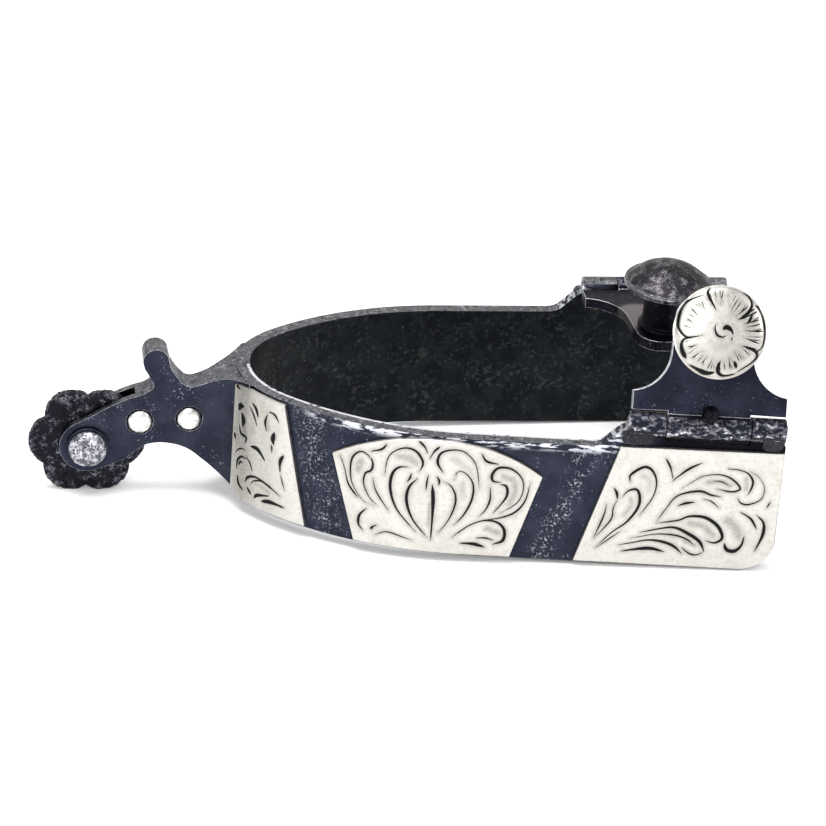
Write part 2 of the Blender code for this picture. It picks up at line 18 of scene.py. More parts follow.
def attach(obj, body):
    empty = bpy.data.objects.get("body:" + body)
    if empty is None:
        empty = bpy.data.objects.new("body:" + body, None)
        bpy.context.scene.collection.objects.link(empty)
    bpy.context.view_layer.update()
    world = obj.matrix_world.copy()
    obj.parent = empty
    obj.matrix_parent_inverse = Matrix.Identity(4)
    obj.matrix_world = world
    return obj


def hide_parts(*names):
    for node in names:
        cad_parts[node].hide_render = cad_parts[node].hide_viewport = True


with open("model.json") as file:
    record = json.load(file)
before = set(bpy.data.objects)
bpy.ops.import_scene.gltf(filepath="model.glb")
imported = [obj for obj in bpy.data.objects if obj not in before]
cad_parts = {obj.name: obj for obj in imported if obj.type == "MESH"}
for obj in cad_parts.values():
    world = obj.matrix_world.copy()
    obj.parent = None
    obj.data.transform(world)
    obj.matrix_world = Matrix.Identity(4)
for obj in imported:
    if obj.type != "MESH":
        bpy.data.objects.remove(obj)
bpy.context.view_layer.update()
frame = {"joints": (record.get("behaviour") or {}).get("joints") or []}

MM = 0.001
NEAR, FAR = -1, 1

# Heel band
BAND_HEIGHT = 31.75
BAND_WALL = 3.4
HEEL_ARCS = ((20.24, 52.25), (29.48, 38.49), (74.41, 3.56))   # radius, heading at the end
ARM_LENGTH = 142.4
CORNER_RADIUS = 8.5
FRONT_LEAN = 0.7                 # how far the arm's front edge leans back at its top
BEND_STEP = 1.5                  # degrees of bend between two cuts of a wrapped piece
BRIGHT_RIM = 0.8                 # width of the rubbed strip along the inner top edge

# Hinge on each arm
HINGE_HEIGHT = 37.6
HINGE_MIDDLE = 122.4
KNUCKLE_RADIUS = 3.1
HINGE_PIN_RADIUS = 1.3
BARREL_LENGTH = 37.7
MIDDLE_KNUCKLE = 20.3
FOOT_RISE = 1.1                  # how proud the pads at the lugs' roots stand
FOOT_TOP = 37.2
LUG_FLOOR = 34.2                 # the arm's top edge under the middle knuckle

# Shank and rowel
SHANK_WIDTH = 7.2
CHEEK_RADIUS = 6.9
ROWEL_AXIS = Vector((-39.0, 0.0, 9.5))
ROWEL_THICKNESS = 3.0
ROWEL_LOBES = 6
LOBE_CENTRE = 7.6
LOBE_RADIUS = 6.8
SADDLE_REACH = 12.0
SLOT_WIDTH = 3.6
SLOT_DEPTH = 15.9
SLOT_TILT = 24.0
PIN_RADIUS = 2.4
WASHER_RADIUS = 5.3
WASHER_THICKNESS = 0.6
DOT_RADIUS = 2.95
DOT_POCKET_DEPTH = 0.8
DOT_PLACES = {"near_rear_dot": (-26.5, 16.7), "near_front_dot": (-14.4, 17.9)}

# Leaves and buttons
LEAF_THICKNESS = 2.6
LEAF_START = 3.5
LEAF_END = 31.4
LEAF_HALF_BASE = 18.7
LEAF_NECK_RADIUS = 10.0
BUTTON_RADIUS = 11.2
POST_RADIUS = 5.5
HEAD_BASE = 11.9
LEAF_RIVET_RADIUS = 2.1
LEAF_LEAN = {NEAR: 23.0, FAR: 92.0}          # degrees inwards from upright
LEAF_SHIFT = {NEAR: 0.0, FAR: -1.2}          # forwards from the hinge's middle
BUTTON_SHIFT = {NEAR: -0.95, FAR: -3.2}
BUTTON_REACH = {NEAR: 23.7, FAR: 22.8}       # from the hinge's axis
HEAD_RISE = {NEAR: 0.0, FAR: 1.0}            # the far button's post is longer
DOME_RISE = 4.9

# Silver plates
PLATE_THICKNESS = 0.8
GAP = 0.3
ENGRAVING_STEP = 0.15            # spacing of the mesh that carries the engraving
ENGRAVING_DEPTH = 0.18
HALO = 0.6                       # width of the soft grey beside each cut

# Camera, as it stood for the photograph
VIEW_AZIMUTH = 8.33
VIEW_ELEVATION = 27.14
VIEW_ROLL = 4.17
VIEW_DISTANCE = 963.0
VIEW_LENS = 167.8
VIEW_TARGET = Vector((42.13, 3.0, 17.85))     # in the band's frame


# ---------------------------------------------------------------- curves and outlines

def arc(centre, radius, first, last, steps):
    """Points on a circle, from the first to the last angle in degrees."""
    return [(centre[0] + radius * cos(radians(first + (last - first) * i / steps)),
             centre[1] + radius * sin(radians(first + (last - first) * i / steps)))
            for i in range(steps + 1)]


def smooth(points, steps=8):
    """A Catmull-Rom curve through the points, ends included."""
    padded = [points[0], *points, points[-1]]
    result = []
    for a, b, c, d in zip(padded, padded[1:], padded[2:], padded[3:]):
        for i in range(steps):
            t = i / steps
            result.append(tuple(
                0.5 * (2 * b[k] + (c[k] - a[k]) * t
                       + (2 * a[k] - 5 * b[k] + 4 * c[k] - d[k]) * t ** 2
                       + (3 * b[k] - a[k] - 3 * c[k] + d[k]) * t ** 3) for k in (0, 1)))
    result.append(points[-1])
    return result


def resample(points, shares):
    """Points at the given shares, from 0 to 1, of a polyline's length."""
    points = np.array(points, float)
    lengths = np.hypot(*np.diff(points, axis=0).T)
    along = np.concatenate([[0.0], np.cumsum(lengths)])
    wanted = np.asarray(shares) * along[-1]
    return np.stack([np.interp(wanted, along, points[:, k]) for k in (0, 1)], axis=-1)


# ---------------------------------------------------------------- the heel's curve

def heel_pieces():
    """Start distance, plan position, heading and radius of each arc and of the straight arm."""
    pieces = []
    along = x = y = 0.0
    heading = pi / 2
    for radius, end in HEEL_ARCS:
        pieces.append((along, x, y, heading, radius))
        end = radians(end)
        x += radius * (sin(heading) - sin(end))
        y += radius * (cos(end) - cos(heading))
        along += radius * (heading - end)
        heading = end
    pieces.append((along, x, y, heading, None))
    return pieces


def on_heel(along, out):
    """Plan positions of points `along` the inner face and `out` of it."""
    along, out = np.broadcast_arrays(np.asarray(along, float), np.asarray(out, float))
    side = np.where(along < 0, -1.0, 1.0)
    x = np.zeros(along.shape)
    y = np.zeros(along.shape)
    for start, x0, y0, heading, radius in heel_pieces():
        here = np.abs(along) >= start
        left = np.abs(along)[here] - start
        if radius is None:
            x[here] = x0 + left * cos(heading) - out[here] * sin(heading)
            y[here] = y0 + left * sin(heading) + out[here] * cos(heading)
        else:
            turn = heading - left / radius
            reach = radius + out[here]
            x[here] = x0 + radius * sin(heading) - reach * np.sin(turn)
            y[here] = y0 - radius * cos(heading) + reach * np.cos(turn)
    return x, side * y


def heel_stations():
    """Distances along the inner face where a wrapped piece is cut so that it can bend."""
    stations = [0.0]
    heading = 90.0
    for radius, end in HEEL_ARCS:
        steps = ceil((heading - end) / BEND_STEP)
        length = radius * radians(heading - end)
        first = stations[-1]
        stations += [first + length * (i + 1) / steps for i in range(steps)]
        heading = end
    return stations


def wrap(item):
    """Fold a flat piece round the heel, cutting it at every station first."""
    shape = bmesh.new()
    shape.from_mesh(item.data)
    stations = heel_stations()
    for station in sorted({*stations, *(-s for s in stations)}):
        bmesh.ops.bisect_plane(shape, geom=[*shape.verts, *shape.edges, *shape.faces],
                               dist=1e-4, plane_co=(station, 0, 0), plane_no=(1, 0, 0))
    flat = np.array([vert.co for vert in shape.verts])
    for vert, x, y in zip(shape.verts, *on_heel(flat[:, 0], flat[:, 1])):
        vert.co.x, vert.co.y = x, y
    bmesh.ops.remove_doubles(shape, verts=shape.verts, dist=1e-4)
    shape.to_mesh(item.data)
    shape.free()
    return item


def hinge_frame(side):
    """Where one arm's hinge lies: x along the barrel towards the front, z up."""
    x, y = on_heel(side * HINGE_MIDDLE, BAND_WALL / 2)
    turn = side * radians(HEEL_ARCS[-1][1])
    return Matrix.Translation((x, y, HINGE_HEIGHT)) @ Matrix.Rotation(turn, 4, "Z")


def stand_matrix():
    """The band's frame in the model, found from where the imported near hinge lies."""
    hinge = next(j for j in frame["joints"] if j["name"] == "near_leaf_swing")
    pitch = asin(-hinge["axis"][2] / cos(radians(HEEL_ARCS[-1][1])))
    scaled = Matrix.Rotation(pitch, 4, "Y") @ Matrix.Scale(MM, 4)
    offset = Vector(hinge["pos_m"]) - scaled @ hinge_frame(NEAR).translation
    return Matrix.Translation(offset) @ scaled


# ---------------------------------------------------------------- mesh helpers

def link(name, mesh):
    item = bpy.data.objects.new(name, mesh)
    bpy.context.scene.collection.objects.link(item)
    return item


def tidy_mesh(mesh):
    """Weld what touches and turn every face outwards."""
    shape = bmesh.new()
    shape.from_mesh(mesh)
    bmesh.ops.remove_doubles(shape, verts=shape.verts, dist=1e-4)
    bmesh.ops.recalc_face_normals(shape, faces=shape.faces)
    shape.to_mesh(mesh)
    shape.free()
    return mesh


def bake(item):
    """Replace the object's data by its evaluated mesh."""
    graph = bpy.context.evaluated_depsgraph_get()
    mesh = bpy.data.meshes.new_from_object(item.evaluated_get(graph))
    item.modifiers.clear()
    item.data = tidy_mesh(mesh)
    return item


def combine(item, tool, operation):
    """One exact Boolean, after which the tool is dropped."""
    modifier = item.modifiers.new(operation.title(), "BOOLEAN")
    modifier.operation = operation
    modifier.solver = "EXACT"
    modifier.object = tool
    bake(item)
    bpy.data.objects.remove(tool, do_unlink=True)
    return item


def shift(item, matrix):
    item.data.transform(matrix)
    return item


def extruded(name, outline, start, end, plane="XZ"):
    """A flat outline, drawn in XZ or in XY, filled and extruded along the third axis."""
    curve = bpy.data.curves.new(name, "CURVE")
    curve.dimensions = "2D"
    curve.fill_mode = "BOTH"
    curve.extrude = (end - start) / 2
    spline = curve.splines.new("POLY")
    spline.points.add(len(outline) - 1)
    for point, (x, y) in zip(spline.points, outline):
        point.co = (x, y, 0.0, 1.0)
    spline.use_cyclic_u = True
    flat = link(name + "_outline", curve)
    graph = bpy.context.evaluated_depsgraph_get()
    mesh = bpy.data.meshes.new_from_object(flat.evaluated_get(graph))
    bpy.data.objects.remove(flat, do_unlink=True)
    middle = (start + end) / 2
    if plane == "XZ":
        mesh.transform(Matrix.Translation((0, middle, 0)) @ Matrix.Rotation(pi / 2, 4, "X"))
    else:
        mesh.transform(Matrix.Translation((0, 0, middle)))
    shape = bmesh.new()
    shape.from_mesh(mesh)
    bmesh.ops.remove_doubles(shape, verts=shape.verts, dist=1e-4)
    bmesh.ops.dissolve_limit(shape, angle_limit=radians(0.2), verts=shape.verts, edges=shape.edges)
    bmesh.ops.recalc_face_normals(shape, faces=shape.faces)
    shape.to_mesh(mesh)
    shape.free()
    return link(name, mesh)


def rod(name, radius, start, end, axis, segments=48):
    """A cylinder along one axis, from start to end on that axis."""
    shape = bmesh.new()
    bmesh.ops.create_cone(shape, cap_ends=True, segments=segments, radius1=radius,
                          radius2=radius, depth=end - start)
    turn = {"X": Matrix.Rotation(pi / 2, 4, "Y"), "Y": Matrix.Rotation(pi / 2, 4, "X"),
            "Z": Matrix.Identity(4)}[axis]
    middle = Vector([(start + end) / 2 if letter == axis else 0.0 for letter in "XYZ"])
    shape.transform(Matrix.Translation(middle) @ turn)
    mesh = bpy.data.meshes.new(name)
    shape.to_mesh(mesh)
    shape.free()
    return link(name, mesh)


def grid_faces(rows, columns, ring, loop):
    """Four-sided faces over a grid of points, joined round either way where asked."""
    index = np.arange(rows * columns).reshape(rows, columns)
    if ring:
        index = np.hstack([index, index[:, :1]])
    if loop:
        index = np.vstack([index, index[:1]])
    corners = [index[:-1, :-1], index[:-1, 1:], index[1:, 1:], index[1:, :-1]]
    return np.stack(corners, axis=-1).reshape(-1, 4)


def grid_item(name, points, ring=False, loop=False, extra_faces=(), **marks):
    """A mesh over a grid of points; each mark is a number kept at every point."""
    rows, columns = points.shape[:2]
    faces = grid_faces(rows, columns, ring, loop).tolist() + list(extra_faces)
    mesh = bpy.data.meshes.new(name)
    mesh.from_pydata(points.reshape(-1, 3).tolist(), [], faces)
    for mark, values in marks.items():
        layer = mesh.attributes.new(mark, "FLOAT", "POINT")
        layer.data.foreach_set("value", np.ascontiguousarray(values, np.float32).ravel())
    return link(name, tidy_mesh(mesh))


def rounded(profile, radius=0.3, steps=3):
    """The profile with each corner cut back and rounded; its two ends stay."""
    result = [profile[0]]
    for before, corner, after in zip(profile, profile[1:], profile[2:]):
        before, corner, after = (np.array(point, float) for point in (before, corner, after))
        back, ahead = before - corner, after - corner
        room = min(radius, 0.45 * np.linalg.norm(back), 0.45 * np.linalg.norm(ahead))
        first = corner + back / np.linalg.norm(back) * room
        last = corner + ahead / np.linalg.norm(ahead) * room
        for i in range(steps + 1):
            t = i / steps
            result.append(tuple((1 - t) ** 2 * first + 2 * t * (1 - t) * corner + t ** 2 * last))
    result.append(profile[-1])
    return result


def turned_points(profile, segments):
    """Points of a profile of (radius, height) turned about Z."""
    profile = np.array(profile, float)
    angle = np.linspace(0, 2 * pi, segments, endpoint=False)
    radius = profile[:, :1]
    height = np.repeat(profile[:, 1:], segments, axis=1)
    return np.stack([radius * np.cos(angle), radius * np.sin(angle), height], axis=-1)


def turned(name, profile, segments=96, loop=False):
    """A solid turned about Z; loop is for a ring, whose profile closes on itself."""
    return grid_item(name, turned_points(profile, segments), ring=True, loop=loop)


def lumps(points, size, seed, octaves=4):
    """Smooth noise between about -1 and 1 at each point, with lumps of that size."""
    flat = points.reshape(-1, 3) / size + seed * 7.3
    values = [noise.fractal(Vector(point), 0.9, 2.0, octaves) for point in flat]
    return np.array(values).reshape(points.shape[:-1])


def bevelled(item, width, segments=4, edge_slot=1):
    """Round the piece's edges; the rounded faces take the worn edge material."""
    modifier = item.modifiers.new("Bevel", "BEVEL")
    modifier.width = width
    modifier.segments = segments
    modifier.limit_method = "ANGLE"
    modifier.angle_limit = radians(32)
    modifier.material = edge_slot
    return bake(item)


def paint_faces(item, slot, wanted):
    """Give a material slot to the faces that `wanted` picks by normal and centre."""
    for face in item.data.polygons:
        if wanted(face.normal, face.center):
            face.material_index = slot


def split(item, point, normal):
    """Cut the piece's faces along a plane, without taking anything away."""
    shape = bmesh.new()
    shape.from_mesh(item.data)
    parts = shape.verts[:] + shape.edges[:] + shape.faces[:]
    bmesh.ops.bisect_plane(shape, geom=parts, plane_co=point, plane_no=normal)
    shape.to_mesh(item.data)
    shape.free()


def give(item, *materials):
    item.data.materials.clear()
    for material in materials:
        item.data.materials.append(material)
    return item


def place(item, matrix, body, slot, *nodes, sharp=35):
    """Set a finished piece in the model, under its body, and hide the CAD nodes it stands for."""
    item.data.transform(matrix)
    item.data.shade_smooth()
    item.data.set_sharp_from_angle(angle=radians(sharp))
    weights = item.modifiers.new("Weighted normals", "WEIGHTED_NORMAL")
    weights.keep_sharp = True
    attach(item, body)
    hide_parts(*nodes)
    return item


# ---------------------------------------------------------------- materials

class Finish:
    """One procedural metal, built up node by node in the piece's own coordinates."""

    def __init__(self, name, colour, roughness, metallic=1.0):
        self.material = bpy.data.materials.new(name)
        self.material.use_nodes = True
        self.tree = self.material.node_tree
        self.shader = self.tree.nodes["Principled BSDF"]
        self.shader.inputs["Base Color"].default_value = (*colour, 1.0)
        self.shader.inputs["Roughness"].default_value = roughness
        self.shader.inputs["Metallic"].default_value = metallic
        self.coordinates = self.tree.nodes.new("ShaderNodeTexCoord").outputs["Object"]
        self.colour = (*colour, 1.0)

    def connect(self, value, socket):
        if isinstance(value, bpy.types.NodeSocket):
            self.tree.links.new(value, socket)
        else:
            socket.default_value = value

    def noise(self, size, detail=3.0, distortion=0.0, stretch=(1, 1, 1)):
        """Noise whose features are about `size` millimetres across."""
        mapping = self.tree.nodes.new("ShaderNodeMapping")
        mapping.inputs["Scale"].default_value = stretch
        self.tree.links.new(self.coordinates, mapping.inputs["Vector"])
        texture = self.tree.nodes.new("ShaderNodeTexNoise")
        self.tree.links.new(mapping.outputs["Vector"], texture.inputs["Vector"])
        texture.inputs["Scale"].default_value = 1 / (size * MM)
        texture.inputs["Detail"].default_value = detail
        texture.inputs["Distortion"].default_value = distortion
        return texture.outputs["Fac"]

    def vector_math(self, operation, point, output):
        """One sum of the piece's own coordinates with a fixed point or direction."""
        node = self.tree.nodes.new("ShaderNodeVectorMath")
        node.operation = operation
        self.tree.links.new(self.coordinates, node.inputs[0])
        node.inputs[1].default_value = point
        return node.outputs[output]

    def in_band(self, axis):
        """The place along one axis of the band's frame, in millimetres."""
        row = STAND.inverted()[axis]
        return self.math("ADD", self.vector_math("DOT_PRODUCT", row[:3], "Value"), row[3])

    def gap_to(self, point):
        """Distance in millimetres from a point of the model."""
        return self.math("MULTIPLY", self.vector_math("DISTANCE", point, "Value"), 1 / MM)

    def crevice_shade(self, reach):
        """Near 1 in crevices up to `reach` millimetres deep, 0 on open faces; the mask for painted shade in
        crevices.
        """
        node = self.tree.nodes.new("ShaderNodeAmbientOcclusion")
        node.samples = 6
        node.inputs["Distance"].default_value = reach * MM
        return self.math("SUBTRACT", 1.0, node.outputs["AO"])

    def mark(self, name):
        """The number that a piece's mesh keeps under this name."""
        node = self.tree.nodes.new("ShaderNodeAttribute")
        node.attribute_name = name
        return node.outputs["Fac"]

    def step(self, value, low, high, floor=0.0, ceiling=1.0):
        """A smooth rise from floor to ceiling as the value goes from low to high."""
        node = self.tree.nodes.new("ShaderNodeMapRange")
        node.interpolation_type = "SMOOTHSTEP"
        for socket, number in zip(node.inputs[1:5], (low, high, floor, ceiling)):
            socket.default_value = number
        self.tree.links.new(value, node.inputs[0])
        return node.outputs[0]

    def math(self, operation, first, second=0.5):
        node = self.tree.nodes.new("ShaderNodeMath")
        node.operation = operation
        self.connect(first, node.inputs[0])
        self.connect(second, node.inputs[1])
        return node.outputs[0]

    def blend(self, share, colour):
        """Lay a colour over what is there, as far as the share says."""
        node = self.tree.nodes.new("ShaderNodeMix")
        node.data_type = "RGBA"
        self.connect(share, node.inputs["Factor"])
        self.connect(self.colour, node.inputs["A"])
        self.connect((*colour, 1.0), node.inputs["B"])
        self.colour = node.outputs["Result"]

    def finish(self, roughness=None, height=None, depth=0.05, strength=0.5):
        """Join up colour, roughness and bump; depth is in millimetres."""
        self.tree.links.new(self.colour, self.shader.inputs["Base Color"])
        if roughness is not None:
            self.tree.links.new(roughness, self.shader.inputs["Roughness"])
        if height is not None:
            bump = self.tree.nodes.new("ShaderNodeBump")
            bump.inputs["Distance"].default_value = depth * MM
            bump.inputs["Strength"].default_value = strength
            self.tree.links.new(height, bump.inputs["Height"])
            self.tree.links.new(bump.outputs["Normal"], self.shader.inputs["Normal"])
        return self.material


def blued_steel(name, colour, speck, amount=0.0, arm=False):
    """Dark blued steel with clouds of fine pale specks where the finish has rubbed off."""
    finish = Finish(name, colour, 0.42)
    lighter = tuple(1.4 * value + 0.003 for value in colour)
    finish.blend(finish.step(finish.noise(6.0, 4), 0.35, 0.7), lighter)
    grain = finish.noise(0.55, 5)
    clouds = finish.step(finish.noise(7.0, 3, 0.6), 0.50 - amount, 0.64 - amount)
    specks = finish.step(grain, 0.60 - 0.3 * amount, 0.70 - 0.3 * amount)
    finish.blend(finish.math("MULTIPLY", clouds, specks), speck)
    lone = finish.step(finish.noise(0.9, 2), 0.70, 0.76)
    finish.blend(lone, tuple(0.7 * value for value in speck))
    if arm:
        rub_and_shade_arm(finish)
    # painted shade: crevices up to 2.5 mm deep are darkened towards near black
    finish.blend(finish.step(finish.crevice_shade(2.5), 0.25, 0.85, 0.0, 0.85), (0.004, 0.004, 0.006))
    roughness = finish.step(finish.noise(2.2, 4), 0.3, 0.7, 0.34, 0.52)
    return finish.finish(roughness, grain, 0.05, 0.45)


def inner_steel(name):
    """The unseen side of the band: near black, with a soft mottle of brown-grey dust."""
    finish = Finish(name, (0.0085, 0.0100, 0.0120), 0.45)
    finish.blend(finish.step(finish.noise(5.0, 4), 0.40, 0.65), (0.014, 0.016, 0.018))
    dust = finish.step(finish.noise(1.2, 5), 0.52, 0.66, 0.0, 0.8)
    finish.blend(finish.math("MULTIPLY", dust, finish.step(finish.noise(9.0, 3), 0.36, 0.60)),
                 (0.040, 0.042, 0.042))
    finish.blend(finish.step(finish.noise(0.8, 2), 0.68, 0.76, 0.0, 0.6), (0.10, 0.10, 0.095))
    # painted shade: crevices up to 4 mm deep are darkened towards near black
    finish.blend(finish.step(finish.crevice_shade(4.0), 0.35, 0.9, 0.0, 0.7), (0.004, 0.004, 0.005))
    grain = finish.noise(0.7, 4)
    return finish.finish(finish.step(grain, 0.3, 0.7, 0.4, 0.56), grain, 0.05, 0.4)


def rub_and_shade_arm(finish):
    """Wear on the arms' outer faces: under the top edge and in two upright bands; and painted shade, a
    near-black strip above the end plate under the hinge.
    """
    along, height = finish.in_band(0), finish.in_band(2)
    streaks = finish.step(finish.noise(0.8, 3, 0.4, (0.25, 0.25, 1.0)), 0.46, 0.58)
    edge = finish.math("MULTIPLY", finish.step(height, 29.2, 31.0), finish.step(along, 92.0, 84.0))
    edge = finish.math("MULTIPLY", edge, finish.step(along, 10.0, 16.0))
    finish.blend(finish.math("MULTIPLY", streaks, edge), (0.60, 0.61, 0.66))
    for middle, half, lean, paleness in ((19.2, 6.0, 0.22, 0.30), (70.0, 4.5, -0.30, 0.42)):
        slanted = finish.math("ADD", along, finish.math("MULTIPLY", height, lean))
        band = finish.math("MULTIPLY", finish.step(slanted, middle - half, middle),
                           finish.step(slanted, middle + half, middle))
        flecks = finish.step(finish.noise(0.6, 3, 0.5), 0.53, 0.68)
        clumps = finish.step(finish.noise(4.0, 2), 0.38, 0.58)
        finish.blend(finish.math("MULTIPLY", finish.math("MULTIPLY", flecks, clumps), band),
                     (paleness, 1.02 * paleness, 1.15 * paleness))
    # painted shade: the strip between the end plate's top and the hinge barrel is darkened to near black
    under = finish.math("MULTIPLY", finish.step(height, 32.1, 32.8), finish.step(along, 93.0, 97.0))
    finish.blend(under, (0.006, 0.006, 0.009))


def rubbed_and_lit_top(name):
    """The band's upper edge: grey bare steel, mottled darker and paler; its pale grey is partly rubbed
    metal and partly a painted highlight from the light above.
    """
    finish = Finish(name, (0.125, 0.125, 0.135), 0.4)
    finish.blend(finish.step(finish.noise(1.3, 4, 0.6), 0.46, 0.36), (0.045, 0.046, 0.055))
    finish.blend(finish.step(finish.noise(1.5, 4, 0.6), 0.54, 0.66), (0.27, 0.27, 0.28))
    grain = finish.noise(0.6, 4)
    finish.blend(finish.step(grain, 0.60, 0.68), (0.42, 0.42, 0.45))
    # painted shade: crevices up to 2.5 mm deep are darkened towards near black
    finish.blend(finish.step(finish.crevice_shade(2.5), 0.25, 0.85, 0.0, 0.85), (0.004, 0.004, 0.006))
    return finish.finish(finish.step(grain, 0.3, 0.7, 0.34, 0.52), grain, 0.05, 0.45)


def worn_edge(name, dark, bright, cover=0.42):
    """Edges rubbed back to bare metal, broken by patches that are still dark."""
    finish = Finish(name, bright, 0.34)
    patches = finish.step(finish.noise(1.6, 4, 0.8), cover + 0.06, cover - 0.06)
    finish.blend(patches, dark)
    finish.blend(finish.step(finish.noise(0.5, 3), 0.62, 0.70), tuple(0.4 * v for v in bright))
    return finish.finish(finish.step(finish.noise(0.8, 3), 0.3, 0.7, 0.3, 0.5),
                         finish.noise(0.5, 4), 0.04, 0.4)


def worn_barrel(name):
    """Hinge knuckles rubbed in streaks from near black through grey to bare bright metal."""
    finish = Finish(name, (0.018, 0.019, 0.030), 0.36)
    rubbed = finish.noise(1.0, 4, 0.8, (0.6, 0.6, 1.0))
    finish.blend(finish.step(rubbed, 0.44, 0.56), (0.13, 0.13, 0.155))
    finish.blend(finish.step(rubbed, 0.58, 0.67), (0.62, 0.62, 0.66))
    finish.blend(finish.step(finish.noise(0.7, 3), 0.56, 0.64), (0.012, 0.012, 0.018))
    # painted shade: crevices up to 1.5 mm deep are darkened towards near black
    finish.blend(finish.step(finish.crevice_shade(1.5), 0.45, 0.9, 0.0, 0.9), (0.004, 0.004, 0.006))
    return finish.finish(finish.step(rubbed, 0.3, 0.7, 0.45, 0.28), rubbed, 0.08, 0.6)


def rough_iron(name, colour, high, low_relief=0.2, high_relief=1.1):
    """Coarse dark iron, paler on its high spots, after the relief kept in the mesh."""
    finish = Finish(name, colour, 0.5)
    grain = finish.noise(0.45, 5)
    coarse = finish.noise(1.3, 4)
    lifted = finish.math("ADD", finish.math("MULTIPLY", finish.mark("relief"), 0.45),
                         finish.math("ADD", grain, finish.math("MULTIPLY", coarse, 0.6)))
    finish.blend(finish.step(lifted, low_relief, high_relief), high)
    finish.blend(finish.step(grain, 0.46, 0.36), tuple(0.3 * value for value in colour))
    # painted shade: crevices up to 2 mm deep are darkened towards near black
    finish.blend(finish.step(finish.crevice_shade(2.0), 0.35, 0.9, 0.0, 0.8), (0.004, 0.004, 0.006))
    return finish.finish(finish.step(grain, 0.3, 0.7, 0.36, 0.6), grain, 0.15, 0.8)


def engraved_silver(name):
    """Satin silver, blackened in its cuts; mark `cut` is 1 in a cut and `shade` is its tint."""
    finish = Finish(name, (0.575, 0.560, 0.530), 0.42)
    finish.blend(finish.step(finish.noise(6.0, 3), 0.4, 0.7), (0.52, 0.50, 0.46))
    finish.blend(finish.step(finish.noise(0.8, 4), 0.50, 0.70, 0.0, 0.5), (0.40, 0.385, 0.36))
    streaks = finish.noise(0.35, 2, 0.0, (0.5, 0.5, 1.0))
    tint = finish.math("MULTIPLY", finish.mark("shade"), finish.step(streaks, 0.35, 0.6, 0.7, 1.0))
    finish.blend(finish.math("MINIMUM", tint, 0.85), (0.13, 0.125, 0.105))
    finish.blend(finish.step(finish.mark("cut"), 0.12, 0.55), (0.012, 0.012, 0.012))
    return finish.finish(finish.step(finish.noise(1.5, 3), 0.3, 0.7, 0.36, 0.48),
                         finish.noise(0.5, 3), 0.02, 0.3)


def plain_silver(name):
    finish = Finish(name, (0.74, 0.73, 0.71), 0.30)
    finish.blend(finish.step(finish.noise(1.2, 4), 0.52, 0.72, 0.0, 0.7), (0.30, 0.30, 0.29))
    return finish.finish(finish.step(finish.noise(0.9, 3), 0.3, 0.7, 0.24, 0.4),
                         finish.noise(0.8, 3), 0.05, 0.35)


def black_steel(name):
    finish = Finish(name, (0.008, 0.008, 0.011), 0.45)
    finish.blend(finish.step(finish.noise(1.0, 4), 0.56, 0.72, 0.0, 0.4), (0.05, 0.05, 0.065))
    return finish.finish(height=finish.noise(0.5, 3), depth=0.05)


def far_leaf_lit_steel(name, spot):
    """The far leaf's blued face, with a painted pool of light in warm grey beside its post."""
    finish = Finish(name, (0.014, 0.015, 0.022), 0.42)
    # painted light: a warm grey pool within about 7 mm of the spot beside the post
    finish.blend(finish.step(finish.gap_to(spot), 7.5, 5.5), (0.20, 0.175, 0.175))
    finish.blend(finish.step(finish.noise(0.6, 4), 0.60, 0.70, 0.0, 0.7), (0.16, 0.16, 0.18))
    return finish.finish(height=finish.noise(0.6, 4), depth=0.05)


STAND = stand_matrix()
STEEL = blued_steel("blued_steel", (0.020, 0.022, 0.035), (0.20, 0.21, 0.26), arm=True)
LEAF_STEEL = blued_steel("leaf_steel", (0.017, 0.018, 0.030), (0.14, 0.15, 0.19), -0.03)
INNER_STEEL = inner_steel("inner_steel")
# pale top steel: partly rubbed metal, partly a painted highlight on faces that catch the light from above
RUBBED_LIT_STEEL = rubbed_and_lit_top("rubbed_and_lit_steel")
FOOT_STEEL = blued_steel("foot_steel", (0.022, 0.022, 0.026), (0.14, 0.14, 0.16), 0.02)
EDGE_STEEL = worn_edge("worn_steel_edge", (0.07, 0.07, 0.095), (0.84, 0.84, 0.88), 0.36)
BARREL_STEEL = worn_barrel("worn_barrel_steel")
BLACK_STEEL = black_steel("black_steel")
IRON = rough_iron("rough_iron", (0.013, 0.013, 0.018), (0.17, 0.17, 0.20), 0.80, 1.35)
BRIGHT_STEEL = rough_iron("bright_steel", (0.11, 0.11, 0.13), (0.58, 0.58, 0.64), 0.55, 1.10)
PEWTER = rough_iron("dark_pewter", (0.030, 0.028, 0.032), (0.20, 0.19, 0.20), 0.70, 1.30)
SILVER = engraved_silver("engraved_silver")
DOT_SILVER = plain_silver("dot_silver")


# ---------------------------------------------------------------- heel band

